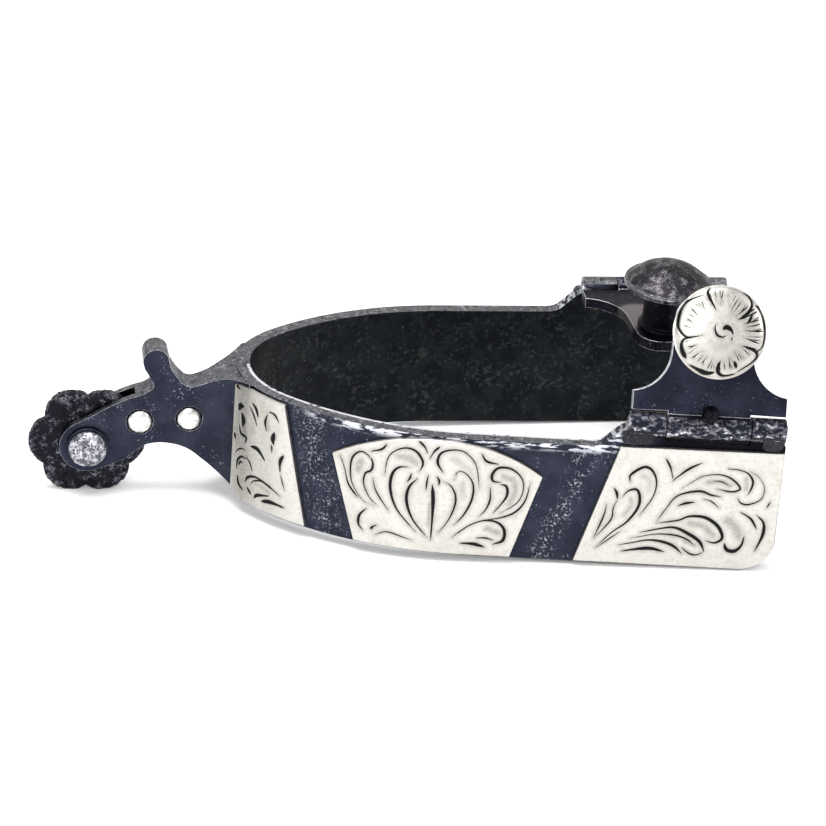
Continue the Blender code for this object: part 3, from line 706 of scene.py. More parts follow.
def arm_outline(side):
    """Half of the flat band's side view, from the middle of its lower edge round to its top."""
    barrel_start = HINGE_MIDDLE - BARREL_LENGTH / 2
    barrel_end = HINGE_MIDDLE + BARREL_LENGTH / 2
    gap_start = HINGE_MIDDLE - MIDDLE_KNUCKLE / 2 - GAP
    gap_end = HINGE_MIDDLE + MIDDLE_KNUCKLE / 2 + GAP
    inset = 0.1
    corner = (ARM_LENGTH - CORNER_RADIUS, CORNER_RADIUS)
    shoulder = smooth([(barrel_start + inset, HINGE_HEIGHT), (101.2, 35.9), (98.9, 33.7),
                       (97.2, 32.3), (95.2, BAND_HEIGHT)], 6)
    points = arc(corner, CORNER_RADIUS, -90, 0, 20)
    points += [(ARM_LENGTH - FRONT_LEAN, LUG_FLOOR), (barrel_end - inset, LUG_FLOOR + 1.0),
               (barrel_end - inset, HINGE_HEIGHT), (gap_end + inset, HINGE_HEIGHT),
               (gap_end + inset, LUG_FLOOR), (gap_start - inset, LUG_FLOOR),
               (gap_start - inset, HINGE_HEIGHT)]
    points += shoulder
    return [(side * x, z) for x, z in points]


def on_knuckle(across, up):
    """Whether a point, seen along the hinge's axis, lies on the knuckles' round face."""
    return abs(hypot(across, up) - KNUCKLE_RADIUS) < 0.12 and up > -2.2


def lug_foot(side, start, end):
    """A low raised pad on the outer face, at the root of one hinge lug."""
    low, high, bend = 33.4, FOOT_TOP, 1.5
    corners = ((end - bend, low + bend, -90), (end - bend, high - bend, 0),
               (start + bend, high - bend, 90), (start + bend, low + bend, 180))
    outline = [(side * x, z) for across, up, first in corners
               for x, z in arc((across, up), bend, first, first + 90, 5)]
    return extruded("lug_foot", outline, BAND_WALL - 0.4, BAND_WALL + FOOT_RISE)


def make_heel_band():
    band = extruded("band", arm_outline(FAR) + arm_outline(NEAR)[::-1], 0.0, BAND_WALL)
    barrel = (HINGE_MIDDLE - BARREL_LENGTH / 2, HINGE_MIDDLE + BARREL_LENGTH / 2)
    middle = (HINGE_MIDDLE - MIDDLE_KNUCKLE / 2 - GAP, HINGE_MIDDLE + MIDDLE_KNUCKLE / 2 + GAP)
    axis = Matrix.Translation((0, BAND_WALL / 2, HINGE_HEIGHT))
    for side in (NEAR, FAR):
        for ends in ((barrel[0], middle[0]), (middle[1], barrel[1])):
            start, end = sorted(side * end for end in ends)
            combine(band, shift(rod("knuckle", KNUCKLE_RADIUS, start, end, "X"), axis), "UNION")
        combine(band, lug_foot(side, 101.6, 109.3), "UNION")
        combine(band, lug_foot(side, 135.8, 140.9), "UNION")
    give(band, STEEL, EDGE_STEEL, INNER_STEEL, RUBBED_LIT_STEEL, BARREL_STEEL, FOOT_STEEL)
    bevelled(band, 0.5)
    split(band, (0, BRIGHT_RIM, 0), (0, 1, 0))
    split(band, (0, 0, 0), (1, 0, 0))
    paint_faces(band, 2, lambda normal, centre: normal.y < -0.95 and centre.y < 0.01)
    # up-facing top faces take the pale top steel: partly rubbed metal, partly a painted highlight from the
    # light above
    paint_faces(band, 3, lambda normal, centre: normal.z > 0.9 and centre.z < HINGE_HEIGHT)
    paint_faces(band, 1, lambda normal, centre: normal.z > 0.9 and centre.z < HINGE_HEIGHT
                and centre.y < BRIGHT_RIM and centre.x < 0)

    def knuckle_face(centre):
        return on_knuckle(centre.y - BAND_WALL / 2, centre.z - HINGE_HEIGHT)

    paint_faces(band, 4, lambda normal, centre: centre.x < 0 and knuckle_face(centre))
    # on the far arm only the knuckles' upper faces take the pale top steel: a painted highlight on the
    # barrel's lit top
    paint_faces(band, 3, lambda normal, centre: centre.x > 0 and normal.z > 0.7 and knuckle_face(centre))
    paint_faces(band, 5, lambda normal, centre: centre.y > BAND_WALL + FOOT_RISE - 0.05
                and centre.z < FOOT_TOP and normal.y > 0.9)
    place(wrap(band), STAND, "heel_frame", "blued_steel", "heel_band")


# ---------------------------------------------------------------- shank

def shank_side():
    """The shank's side view: cheeks, chap guard and the root that meets the band."""
    pin = (ROWEL_AXIS.x, ROWEL_AXIS.z)
    cheek = arc(pin, CHEEK_RADIUS, 122, 292, 36)
    lower = smooth([(-33.0, 4.6), (-29.0, 6.8), (-25.1, 10.2), (-20.3, 11.1), (-14.9, 9.9),
                    (-10.1, 6.6), (-6.4, 4.1), (-3.6, 2.3), (-0.5, -0.02)], 6)
    root = [(15.0, -0.02), (15.0, BAND_HEIGHT + 0.02)]
    saddle = smooth([(-1.5, BAND_HEIGHT + 0.02), (-6.6, 30.0), (-10.6, 28.0), (-14.6, 26.6),
                     (-17.2, 28.2), (-19.6, 31.4)], 6)
    guard = arc((-23.4, 33.3), 3.2, 5, 190, 20)
    upper = smooth([(-26.1, 31.2), (-24.6, 28.8), (-23.6, 26.4), (-25.6, 24.5), (-29.8, 22.8),
                    (-35.0, 20.0), (-40.6, 16.4)], 6)
    return cheek + lower + root + saddle + guard + upper


def shank_flare(steps):
    """Half of the shank's top view, where its cheeks flare into the curve of the band."""
    flare = smooth([(-14.0, 3.6), (-10.0, 3.9), (-6.5, 5.5), (-3.6, 8.2), (-1.0, 11.6)], steps)
    flare[0] = (flare[0][0], SHANK_WIDTH / 2)
    return flare


def shank_plan():
    """The shank's top view; its root runs on into the band, so that no seam shows."""
    one_side = [(-50, SHANK_WIDTH / 2), *shank_flare(8)]
    other_side = [(x, -y) for x, y in reversed(one_side)]
    seat = 0.9
    saddle = [tuple(map(float, on_heel(SADDLE_REACH * (1 - i / 16), seat))) for i in range(33)]
    return one_side + saddle + other_side


def make_shank():
    shank = extruded("shank_side", shank_side(), -20, 20)
    combine(shank, extruded("plan", shank_plan(), -5, 45, plane="XY"), "INTERSECT")
    slot = extruded("slot", [(-30, -30), (SLOT_DEPTH, -30), (SLOT_DEPTH, 30), (-30, 30)],
                    -SLOT_WIDTH / 2, SLOT_WIDTH / 2)
    shift(slot, Matrix.Translation(ROWEL_AXIS) @ Matrix.Rotation(-radians(SLOT_TILT), 4, "Y"))
    combine(shank, slot, "DIFFERENCE")
    floor = -SHANK_WIDTH / 2 + DOT_POCKET_DEPTH
    for x, z in DOT_PLACES.values():
        pocket = rod("pocket", DOT_RADIUS + 0.45, -SHANK_WIDTH, floor, "Y")
        combine(shank, shift(pocket, Matrix.Translation((x, 0, z))), "DIFFERENCE")
    give(shank, STEEL, EDGE_STEEL, BLACK_STEEL, RUBBED_LIT_STEEL)
    bevelled(shank, 0.75)
    half_slot = SLOT_WIDTH / 2
    # the rowel slot's walls take the near-black steel: painted shade inside the narrow slot
    paint_faces(shank, 2, lambda normal, centre: abs(centre.y) < half_slot + 0.05 and centre.x < -20
                and abs(centre.y) > half_slot - 0.05 and abs(normal.y) > 0.9)
    # the shank's up-facing faces take the pale top steel: partly rubbed metal, partly a painted highlight
    # from the light above
    paint_faces(shank, 3, lambda normal, centre: normal.z > 0.75 and centre.z > 12)
    place(shank, STAND, "heel_frame", "blued_steel", "shank")


def make_dots():
    """Low silver domes let into the near cheek."""
    dome = [(DOT_RADIUS * sin(radians(a)), 1.1 * cos(radians(a))) for a in range(0, 91, 5)]
    profile = dome + [(DOT_RADIUS, GAP - DOT_POCKET_DEPTH), (0.0, GAP - DOT_POCKET_DEPTH)]
    for number, (name, (x, z)) in enumerate(DOT_PLACES.items()):
        points = turned_points(profile, 72)
        points *= 1 + 0.025 * lumps(points, 1.6, 3 + number)[..., None]
        dot = shift(grid_item(name + "_dome", points, ring=True), Matrix.Rotation(pi / 2, 4, "X"))
        give(dot, DOT_SILVER)
        spot = Matrix.Translation((x, -SHANK_WIDTH / 2, z))
        place(dot, STAND @ spot, "heel_frame", "engraved_silver", name)


# ---------------------------------------------------------------- rowel and its pin

def rowel_points():
    """A closed ring of points: near face, rim and far face, with dished, lumpy lobes."""
    angle = np.linspace(0, 2 * pi, 480, endpoint=False)
    sector = 2 * pi / ROWEL_LOBES
    off = (angle + radians(60) + sector / 2) % sector - sector / 2
    rim = LOBE_CENTRE * np.cos(off) + np.sqrt(LOBE_RADIUS ** 2 - (LOBE_CENTRE * np.sin(off)) ** 2)
    half = ROWEL_THICKNESS / 2
    bore = PIN_RADIUS + 0.1
    inwards = np.linspace(0, 1, 44) ** 0.8
    section = [(share, half) for share in inwards]
    section += [(1.0, half * cos(radians(a))) for a in range(15, 180, 15)]
    section += [(share, -half) for share in inwards[::-1]]
    rows = []
    for share, depth in section:
        radius = bore + (rim - bore) * share
        rounding = 0.5 * np.exp(-((rim - radius) / 0.45) ** 2) * abs(depth) / half
        lobe = np.hypot(radius * np.cos(off) - LOBE_CENTRE - 0.6, radius * np.sin(off))
        dish = 0.38 * np.exp(-(lobe / 3.2) ** 4) * abs(depth) / half
        y = np.sign(depth) * (abs(depth) - rounding - dish)
        rows.append(np.stack([radius * np.cos(angle), y, radius * np.sin(angle)], axis=-1))
    return np.array(rows)


def make_rowel():
    points = rowel_points()
    coarse = lumps(points, 1.9, 1)
    fine = lumps(points, 0.7, 2)
    relief = 0.75 * coarse + 0.45 * fine
    middle = points * [1, 0, 1]
    outwards = middle / np.linalg.norm(middle, axis=-1, keepdims=True)
    edge = np.clip(np.linalg.norm(middle, axis=-1, keepdims=True) - 9.0, 0, 1)
    points = points + relief[..., None] * (0.26 * outwards * edge + [0, 0.16, 0] * np.sign(points))
    rim = np.linalg.norm(middle, axis=-1)
    rise = np.clip((rim - 11.5) / 3.0, 0, 1)
    rowel = grid_item("rowel_wheel", points, ring=True, loop=True, relief=relief + 0.35 * rise)
    give(rowel, IRON)
    level = STAND.inverted_safe().to_euler().y
    spot = Matrix.Translation(ROWEL_AXIS) @ Matrix.Rotation(level, 4, "Y")
    place(rowel, STAND @ spot, "rowel_wheel", "rough_iron", "rowel")


def make_rowel_pin():
    """A riveted pin with a hammered head on the near side, over a washer at each end."""
    seat = SHANK_WIDTH / 2 + 2 * GAP + WASHER_THICKNESS
    dome = [(4.7 * sin(radians(a)), seat + 0.4 + 2.0 * cos(radians(a))) for a in range(0, 91, 3)]
    tail = [(4.1 * sin(radians(a)), -seat - 0.3 - 1.4 * cos(radians(a))) for a in range(90, -1, -5)]
    profile = dome + [(4.7, seat), (PIN_RADIUS, seat), (PIN_RADIUS, -seat), (4.1, -seat)] + tail
    points = turned_points(profile, 96)
    relief = lumps(points, 1.3, 4)
    points[..., 2] += 0.16 * relief * np.sign(points[..., 2]) * (np.abs(points[..., 2]) > seat)
    pin = grid_item("rowel_rivet", points, ring=True, relief=relief)
    give(shift(pin, Matrix.Rotation(pi / 2, 4, "X")), BRIGHT_STEEL)
    place(pin, STAND @ Matrix.Translation(ROWEL_AXIS), "heel_frame", "bright_steel", "rowel_pin")
    base = SHANK_WIDTH / 2
    bore = PIN_RADIUS + 0.05
    ring = rounded([(bore, 0.5), (bore, 0.0), (WASHER_RADIUS, 0.0),
                    (WASHER_RADIUS, WASHER_THICKNESS + GAP), (bore, WASHER_THICKNESS + GAP),
                    (bore, 0.5)], 0.2)
    for name, side in (("near_pin_washer", NEAR), ("far_pin_washer", FAR)):
        washer = turned(name + "_ring", ring[:-1], loop=True)
        give(shift(washer, Matrix.Rotation(-side * pi / 2, 4, "X")), STEEL)
        spot = Matrix.Translation((ROWEL_AXIS.x, side * base, ROWEL_AXIS.z))
        place(washer, STAND @ spot, "heel_frame", "blued_steel", name)


# ---------------------------------------------------------------- hinges, leaves, buttons

def leaf_outline(shift):
    """The swinging leaf's flat shape: square base, bell shoulders and a blunt round end."""
    web = MIDDLE_KNUCKLE / 2 - 0.1
    neck, shoulder_height = 19.9, 18.0
    end_half, bend = 9.4, 5.5
    start_angle = degrees(acos((neck - LEAF_HALF_BASE) / LEAF_NECK_RADIUS))
    right = arc((neck, shoulder_height), LEAF_NECK_RADIUS, 180 + start_angle, 180, 24)
    right += arc((end_half - bend, LEAF_END - bend), bend, 0, 90, 12)
    left = [(-x, z) for x, z in reversed(right)]
    sides = [(x + shift, z) for x, z in right + left]
    root = LEAF_START + 0.1
    return [(shift - LEAF_HALF_BASE, LEAF_START), (-web, root), (-web, 0.0), (web, 0.0),
            (web, root), (shift + LEAF_HALF_BASE, LEAF_START)] + sides


def outwards(side):
    """Turns a piece made along +Z so that it points out of the leaf's outer face."""
    return Matrix.Rotation(-side * pi / 2, 4, "X")


def hinge_stand(side):
    lean = Matrix.Rotation(side * radians(LEAF_LEAN[side]), 4, "X")
    return STAND @ hinge_frame(side) @ lean


def make_leaf(prefix, side):
    half = LEAF_THICKNESS / 2
    leaf = extruded(prefix + "_leaf_plate", leaf_outline(LEAF_SHIFT[side]), -half, half)
    knuckle = MIDDLE_KNUCKLE / 2
    combine(leaf, rod("knuckle", KNUCKLE_RADIUS, -knuckle, knuckle, "X"), "UNION")
    give(leaf, LEAF_STEEL if side == NEAR else far_leaf_finish(), EDGE_STEEL, BARREL_STEEL)
    bevelled(leaf, 0.42)
    if side == NEAR:
        paint_faces(leaf, 1, lambda normal, centre: abs(normal.y) < 0.5 and centre.z > 3.3)
    paint_faces(leaf, 2, lambda normal, centre: on_knuckle(centre.y, -centre.z))
    place(leaf, hinge_stand(side), prefix + "_button_leaf", "blued_steel", prefix + "_leaf")
    radius = LEAF_RIVET_RADIUS
    points = turned_points([(radius * sin(radians(a)), radius * cos(radians(a)))
                            for a in range(0, 181, 6)], 48)
    points = points * (1 + 0.04 * lumps(points, 1.2, 9)[..., None])
    rivet = grid_item(prefix + "_rivet_ball", points, ring=True)
    give(rivet, BLACK_STEEL)
    spot = Matrix.Translation((0, side * 2.9, 3.3))
    place(rivet, hinge_stand(side) @ spot, prefix + "_button_leaf", "black_steel", prefix + "_leaf_rivet")


def far_leaf_finish():
    """The far leaf's material, whose painted pool of light lies beside the post."""
    spot = Vector((-7.6, LEAF_THICKNESS / 2, 17.5))
    return far_leaf_lit_steel("far_leaf_lit_steel", hinge_stand(FAR) @ spot)


def button_spot(side):
    spot = Matrix.Translation((BUTTON_SHIFT[side], 0, BUTTON_REACH[side]))
    return hinge_stand(side) @ spot @ outwards(side)


def make_post(prefix, side):
    """The strap post, with a moulded foot on the leaf and a riveted tail behind it."""
    face = LEAF_THICKNESS / 2
    tail = [(4.2 * sin(radians(a)), -face - 0.3 - 1.1 * cos(radians(a))) for a in range(90, -1, -6)]
    top = HEAD_BASE + HEAD_RISE[side] + 0.5
    profile = rounded([(0.0, top), (POST_RADIUS, top), (POST_RADIUS, face + 1.4),
                       (POST_RADIUS + 0.9, face + 1.0), (POST_RADIUS + 0.9, face - 0.2),
                       (4.2, face - 0.2), (4.2, -face)], 0.3)
    post = turned(prefix + "_strap_post", profile + tail)
    give(post, BLACK_STEEL)
    place(post, button_spot(side), prefix + "_button_leaf", "blued_steel", prefix + "_button_post")


def make_near_disc():
    top = HEAD_BASE + 1.9
    profile = rounded([(0.0, top), (10.9, top), (10.9, HEAD_BASE), (0.0, HEAD_BASE)], 0.5, 5)
    disc = give(turned("near_button_back", profile, 120), LEAF_STEEL, EDGE_STEEL)
    paint_faces(disc, 1, lambda normal, centre: hypot(centre.x, centre.y) > 10.5)
    place(disc, button_spot(NEAR), "near_button_leaf", "blued_steel", "near_button_disc")


def make_far_button():
    """A plain domed button with a bright rolled rim."""
    base = HEAD_BASE + HEAD_RISE[FAR]
    rim = base + 1.3
    reach = BUTTON_RADIUS - 0.7
    ball_radius = (reach ** 2 + DOME_RISE ** 2) / (2 * DOME_RISE)
    angles = np.linspace(0, asin(reach / ball_radius), 50)
    dome = [(ball_radius * sin(a), rim + DOME_RISE - ball_radius * (1 - cos(a))) for a in angles]
    profile = dome + rounded([dome[-1], (BUTTON_RADIUS, rim), (BUTTON_RADIUS, base),
                              (0.0, base)], 0.35, 4)
    points = turned_points(profile, 160)
    relief = lumps(points, 2.4, 5)
    above = (points[..., 2] > rim + 0.4)
    points[..., 2] += 0.10 * relief * above
    button = grid_item("far_button_dome", points, ring=True, relief=relief)
    give(button, PEWTER, RUBBED_LIT_STEEL)
    paint_faces(button, 1, lambda normal, centre: centre.z < rim + 0.25
                and hypot(centre.x, centre.y) > reach - 0.2)
    place(button, button_spot(FAR), "far_button_leaf", "dark_pewter", "far_button")


def make_hinge_pin(prefix, side):
    half = BARREL_LENGTH / 2 + 0.5
    head, neck = HINGE_PIN_RADIUS + 0.5, half - 0.7
    profile = rounded([(0.0, half), (head, half), (head, neck), (HINGE_PIN_RADIUS, neck),
                       (HINGE_PIN_RADIUS, -neck), (head, -neck), (head, -half), (0.0, -half)], 0.3)
    points = turned_points(profile, 48)
    pin = grid_item(prefix + "_pin", points, ring=True, relief=lumps(points, 1.0, 6))
    give(shift(pin, Matrix.Rotation(pi / 2, 4, "Y")), BRIGHT_STEEL)
    place(pin, STAND @ hinge_frame(side), "heel_frame", "bright_steel", prefix + "_hinge_pin")


# ---------------------------------------------------------------- engraving

class Engraving:
    """Cuts, tints and punch marks over a grid of flat (x, z) points."""

    def __init__(self, flat):
        self.flat = flat
        self.cut = np.zeros(flat.shape[:2])
        self.shade = np.zeros(flat.shape[:2])

    def near(self, points, reach):
        low, high = points.min(0) - reach, points.max(0) + reach
        return np.all((self.flat >= low) & (self.flat <= high), axis=-1)

    def line(self, points, width=0.3, swell=0.5):
        """One graver stroke, widest at the share of its length that swell gives."""
        path = resample(smooth(points, 6) if len(points) > 2 else points, np.linspace(0, 1, 90))
        share = np.linspace(0, 1, 90)
        ends = np.minimum(1, np.minimum(share, 1 - share) / 0.12)
        half = 1.05 * width * (0.42 + 0.58 * np.exp(-((share - swell) / 0.30) ** 2)) * (0.35 + 0.65 * ends)
        here = self.near(path, width + 2 * HALO)
        gaps = np.linalg.norm(self.flat[here][:, None] - path[None], axis=-1)
        depth = np.clip(1.25 - (gaps / half).min(1), 0, 1) * min(1.0, 0.45 + width)
        self.cut[here] = np.maximum(self.cut[here], depth)
        soft = 0.38 * np.exp(-np.clip(gaps - half, 0, None).min(1) ** 2 / HALO ** 2)
        self.shade[here] = np.maximum(self.shade[here], soft)

    def tint(self, points, width, amount=0.6):
        """Soft grey along a path, as fine hatching gives."""
        path = resample(points, np.linspace(0, 1, 40))
        here = self.near(path, 2 * width)
        gap = np.linalg.norm(self.flat[here][:, None] - path[None], axis=-1).min(1) / width
        self.shade[here] = np.maximum(self.shade[here], amount * np.exp(-gap ** 2))

    def dots(self, centres, radius=0.2, depth=0.45):
        """Small punch marks."""
        for centre in np.array(centres, float):
            here = self.near(centre[None], radius)
            gap = np.linalg.norm(self.flat[here] - centre, axis=-1) / radius
            self.cut[here] = np.maximum(self.cut[here], depth * np.clip(1.2 - gap, 0, 1))


def rim_spaced(length):
    """Shares from 0 to 1, close together at both ends to carry a plate's rounded rim."""
    rim = np.array([0.0, 0.03, 0.08, 0.15, 0.24]) / length
    inner = np.linspace(rim[-1], 1 - rim[-1], ceil(length / ENGRAVING_STEP))
    return np.concatenate([rim[:-1], inner, 1 - rim[-2::-1]])


def patch(bottom, right, top, left):
    """A grid of points that fills four joined edges, each given from its low end."""
    across = rim_spaced(max(np.hypot(*np.diff(edge, axis=0).T).sum() for edge in (bottom, top)))
    up = rim_spaced(max(np.hypot(*np.diff(edge, axis=0).T).sum() for edge in (left, right)))
    bottom, top = resample(bottom, across)[None], resample(top, across)[None]
    left, right = resample(left, up)[:, None], resample(right, up)[:, None]
    u, v = across[None, :, None], up[:, None, None]
    corners = ((1 - u) * (1 - v) * bottom[:, :1] + u * (1 - v) * bottom[:, -1:]
               + (1 - u) * v * top[:, :1] + u * v * top[:, -1:])
    return (1 - v) * bottom + v * top + (1 - u) * left + u * right - corners


def edge_gap(flat):
    """Each grid point's distance to the nearest edge of the grid."""
    def walked(points, axis):
        steps = np.linalg.norm(np.diff(points, axis=axis), axis=-1)
        pad = [(0, 0), (0, 0)]
        pad[axis] = (1, 0)
        return np.pad(np.cumsum(steps, axis=axis), pad)
    across, up = walked(flat, 1), walked(flat, 0)
    return np.minimum.reduce([across, across[:, -1:] - across, up, up[-1:] - up])


def plate_faces(rows, columns):
    """Faces for a plate's walls and back, whose back corners follow the front grid's points."""
    front = np.arange(rows * columns).reshape(rows, columns)
    rim = np.concatenate([front[0, :], front[1:, -1], front[-1, -2::-1], front[-2:0:-1, 0]])
    back = rows * columns + np.arange(len(rim))
    walls = [[int(rim[i - 1]), int(back[i - 1]), int(back[i]), int(rim[i])] for i in range(len(rim))]
    low = back[:columns]
    high = back[columns - 1 + rows - 1:columns - 1 + rows - 1 + columns][::-1]
    right = back[columns - 1:columns - 1 + rows]
    left = np.concatenate([back[:1], back[columns + rows + columns - 3:][::-1]])
    strips = [[int(low[i]), int(high[i]), int(high[i + 1]), int(low[i + 1])] for i in range(1, columns - 2)]
    strips.append([int(i) for i in (*left, high[1], low[1])])
    strips.append([int(i) for i in (low[-2], high[-2], *right[::-1])])
    return rim, walls + strips


def engraved_plate(name, edges, surface, engrave, node):
    """A silver plate over the patch inside four edges, engraved, closed and lying on a surface."""
    flat = patch(*edges)
    art = Engraving(flat)
    engrave(art)
    gap = edge_gap(flat)
    rounding = 0.24
    drop = rounding - np.sqrt(np.clip(rounding ** 2 - np.clip(rounding - gap, 0, None) ** 2, 0, None))
    top = GAP + PLATE_THICKNESS - drop - ENGRAVING_DEPTH * art.cut
    x, y = surface(flat[..., 0], top)
    front = np.stack([x, y, flat[..., 1]], axis=-1).reshape(-1, 3)
    rim, faces = plate_faces(*flat.shape[:2])
    under = flat.reshape(-1, 2)[rim]
    x, y = surface(under[:, 0], np.full(len(rim), 0.12))
    points = np.concatenate([front, np.stack([x, y, under[:, 1]], axis=-1)])
    quads = grid_faces(*flat.shape[:2], False, False).tolist()
    mesh = bpy.data.meshes.new(name)
    mesh.from_pydata(points.tolist(), [], quads + faces)
    for mark, values in (("cut", art.cut), ("shade", art.shade)):
        layer = mesh.attributes.new(mark, "FLOAT", "POINT")
        layer.data.foreach_set("value", np.pad(values.ravel(), (0, len(rim))).astype(np.float32))
    plate = give(link(name, tidy_mesh(mesh)), SILVER)
    place(plate, STAND, "heel_frame", "engraved_silver", node, sharp=50)


def near_arm(along, out):
    """The near arm's outer face, with distances along it counted as positive."""
    return on_heel(-along, BAND_WALL + out)


def engrave_fan(art):
    """Bulb leaves and curls that fan out from the middle of the plate's lower edge."""
    art.line([(57.8, 19.0), (58.4, 14.0), (58.7, 4.0)], 0.50, 0.25)
    art.line([(54.3, 20.3), (52.6, 17.7), (52.3, 13.9), (54.1, 9.1), (57.8, 4.6)], 0.42, 0.35)
    art.line([(60.3, 20.2), (62.3, 18.9), (63.5, 15.3), (62.4, 10.2), (60.0, 5.7)], 0.30, 0.4)
    art.line([(52.4, 23.1), (49.8, 22.6), (48.4, 20.3), (48.4, 16.1), (50.4, 11.0),
              (55.0, 5.9)], 0.42, 0.35)
    art.line([(62.6, 21.0), (63.3, 23.2), (65.1, 22.9), (67.1, 20.1), (67.2, 16.0), (65.7, 11.7),
              (63.6, 8.6)], 0.34, 0.6)
    art.line([(46.8, 19.9), (47.0, 24.1), (48.4, 26.7), (51.1, 28.1), (53.6, 27.4), (55.2, 24.7),
              (54.5, 22.2)], 0.36, 0.75)
    art.line([(59.9, 22.8), (58.5, 25.2), (59.1, 27.9), (61.8, 29.0), (64.6, 28.5), (67.4, 25.1),
              (68.7, 19.0)], 0.38, 0.1)
    art.line([(52.8, 21.5), (52.6, 20.2), (52.0, 19.0)], 0.30)
    art.line([(58.6, 21.5), (59.3, 20.3), (59.2, 19.0)], 0.32)
    art.line([(56.7, 21.6), (56.5, 19.5), (56.5, 17.4)], 0.28)
    art.line([(53.8, 30.5), (55.2, 29.1), (56.0, 27.5)], 0.34, 0.3)
    art.line([(58.6, 29.5), (57.5, 28.1), (56.6, 26.0)], 0.34, 0.2)
    art.line([(43.8, 22.2), (42.7, 24.2), (40.8, 25.0), (39.1, 23.4), (38.6, 20.5), (39.3, 16.1),
              (42.0, 12.2), (44.7, 11.1)], 0.30, 0.35)
    art.line([(43.3, 24.0), (43.8, 22.2), (43.5, 20.5), (42.2, 19.3), (42.1, 16.4), (43.8, 13.0),
              (45.9, 11.2)], 0.34, 0.2)
    art.line([(35.8, 22.9), (37.2, 19.7), (38.5, 15.5), (41.1, 12.4)], 0.30, 0.8)
    art.line([(44.1, 18.5), (45.2, 15.0), (48.5, 10.3)], 0.24)
    art.line([(42.8, 25.5), (45.5, 26.7), (46.6, 28.4)], 0.34, 0.6)
    art.line([(73.6, 21.0), (71.8, 21.3), (71.5, 23.1), (72.9, 24.9), (75.9, 24.8), (78.5, 22.7),
              (79.4, 19.6), (78.3, 15.8), (74.5, 12.6)], 0.42, 0.12)
    art.line([(73.7, 20.5), (75.3, 19.8), (75.4, 16.9), (72.7, 12.5)], 0.40, 0.3)
    art.line([(80.9, 21.4), (80.1, 16.3), (77.8, 12.9), (73.9, 11.1), (70.3, 10.5)], 0.32, 0.5)
    art.line([(71.3, 19.6), (71.6, 16.2), (70.8, 13.3), (69.5, 11.5)], 0.30, 0.5)
    art.line([(68.4, 28.5), (69.8, 26.5), (72.7, 25.9)], 0.36, 0.5)
    art.line([(43.3, 10.0), (41.8, 7.9), (41.7, 5.4), (42.9, 3.8)], 0.38, 0.5)
    art.line([(44.7, 4.6), (45.1, 5.3), (46.0, 6.0)], 0.36, 0.2)
    art.line([(45.7, 3.1), (48.4, 4.6), (52.4, 3.8), (54.6, 3.3)], 0.24)
    art.line([(63.5, 5.2), (66.8, 8.4), (70.3, 10.2), (73.7, 10.1), (75.8, 8.1), (75.8, 5.1),
              (73.5, 3.9)], 0.46, 0.85)
    art.line([(65.4, 3.7), (68.7, 3.7), (71.4, 3.0)], 0.50, 0.6)
    art.line([(69.3, 5.4), (71.5, 5.5), (73.4, 5.0)], 0.28)
    art.tint([(40.9, 22.4), (40.5, 20.0)], 1.1, 0.6)
    art.tint([(49.6, 25.6), (52.0, 25.6), (53.6, 24.3)], 1.1, 0.55)
    art.tint([(62.0, 26.5), (65.5, 24.5), (67.3, 21.5)], 0.9, 0.35)
    art.tint([(64.5, 20.0), (65.0, 16.0)], 0.9, 0.35)
    art.tint([(74.4, 22.6), (76.8, 21.8), (77.6, 19.0), (76.4, 15.5)], 1.0, 0.6)
    art.tint([(71.5, 8.2), (74.5, 7.2)], 1.0, 0.6)
    art.tint([(57.6, 14.0), (57.9, 8.0)], 0.5, 0.6)
    art.dots([(78.6 - 0.8 * i + 0.4 * (i % 2), 13.2 - 1.7 * i) for i in range(7)], 0.22, 0.3)
    art.dots([(76.2 - 1.7 * i, 2.0 + 0.4 * (i % 2)) for i in range(5)], 0.2, 0.25)


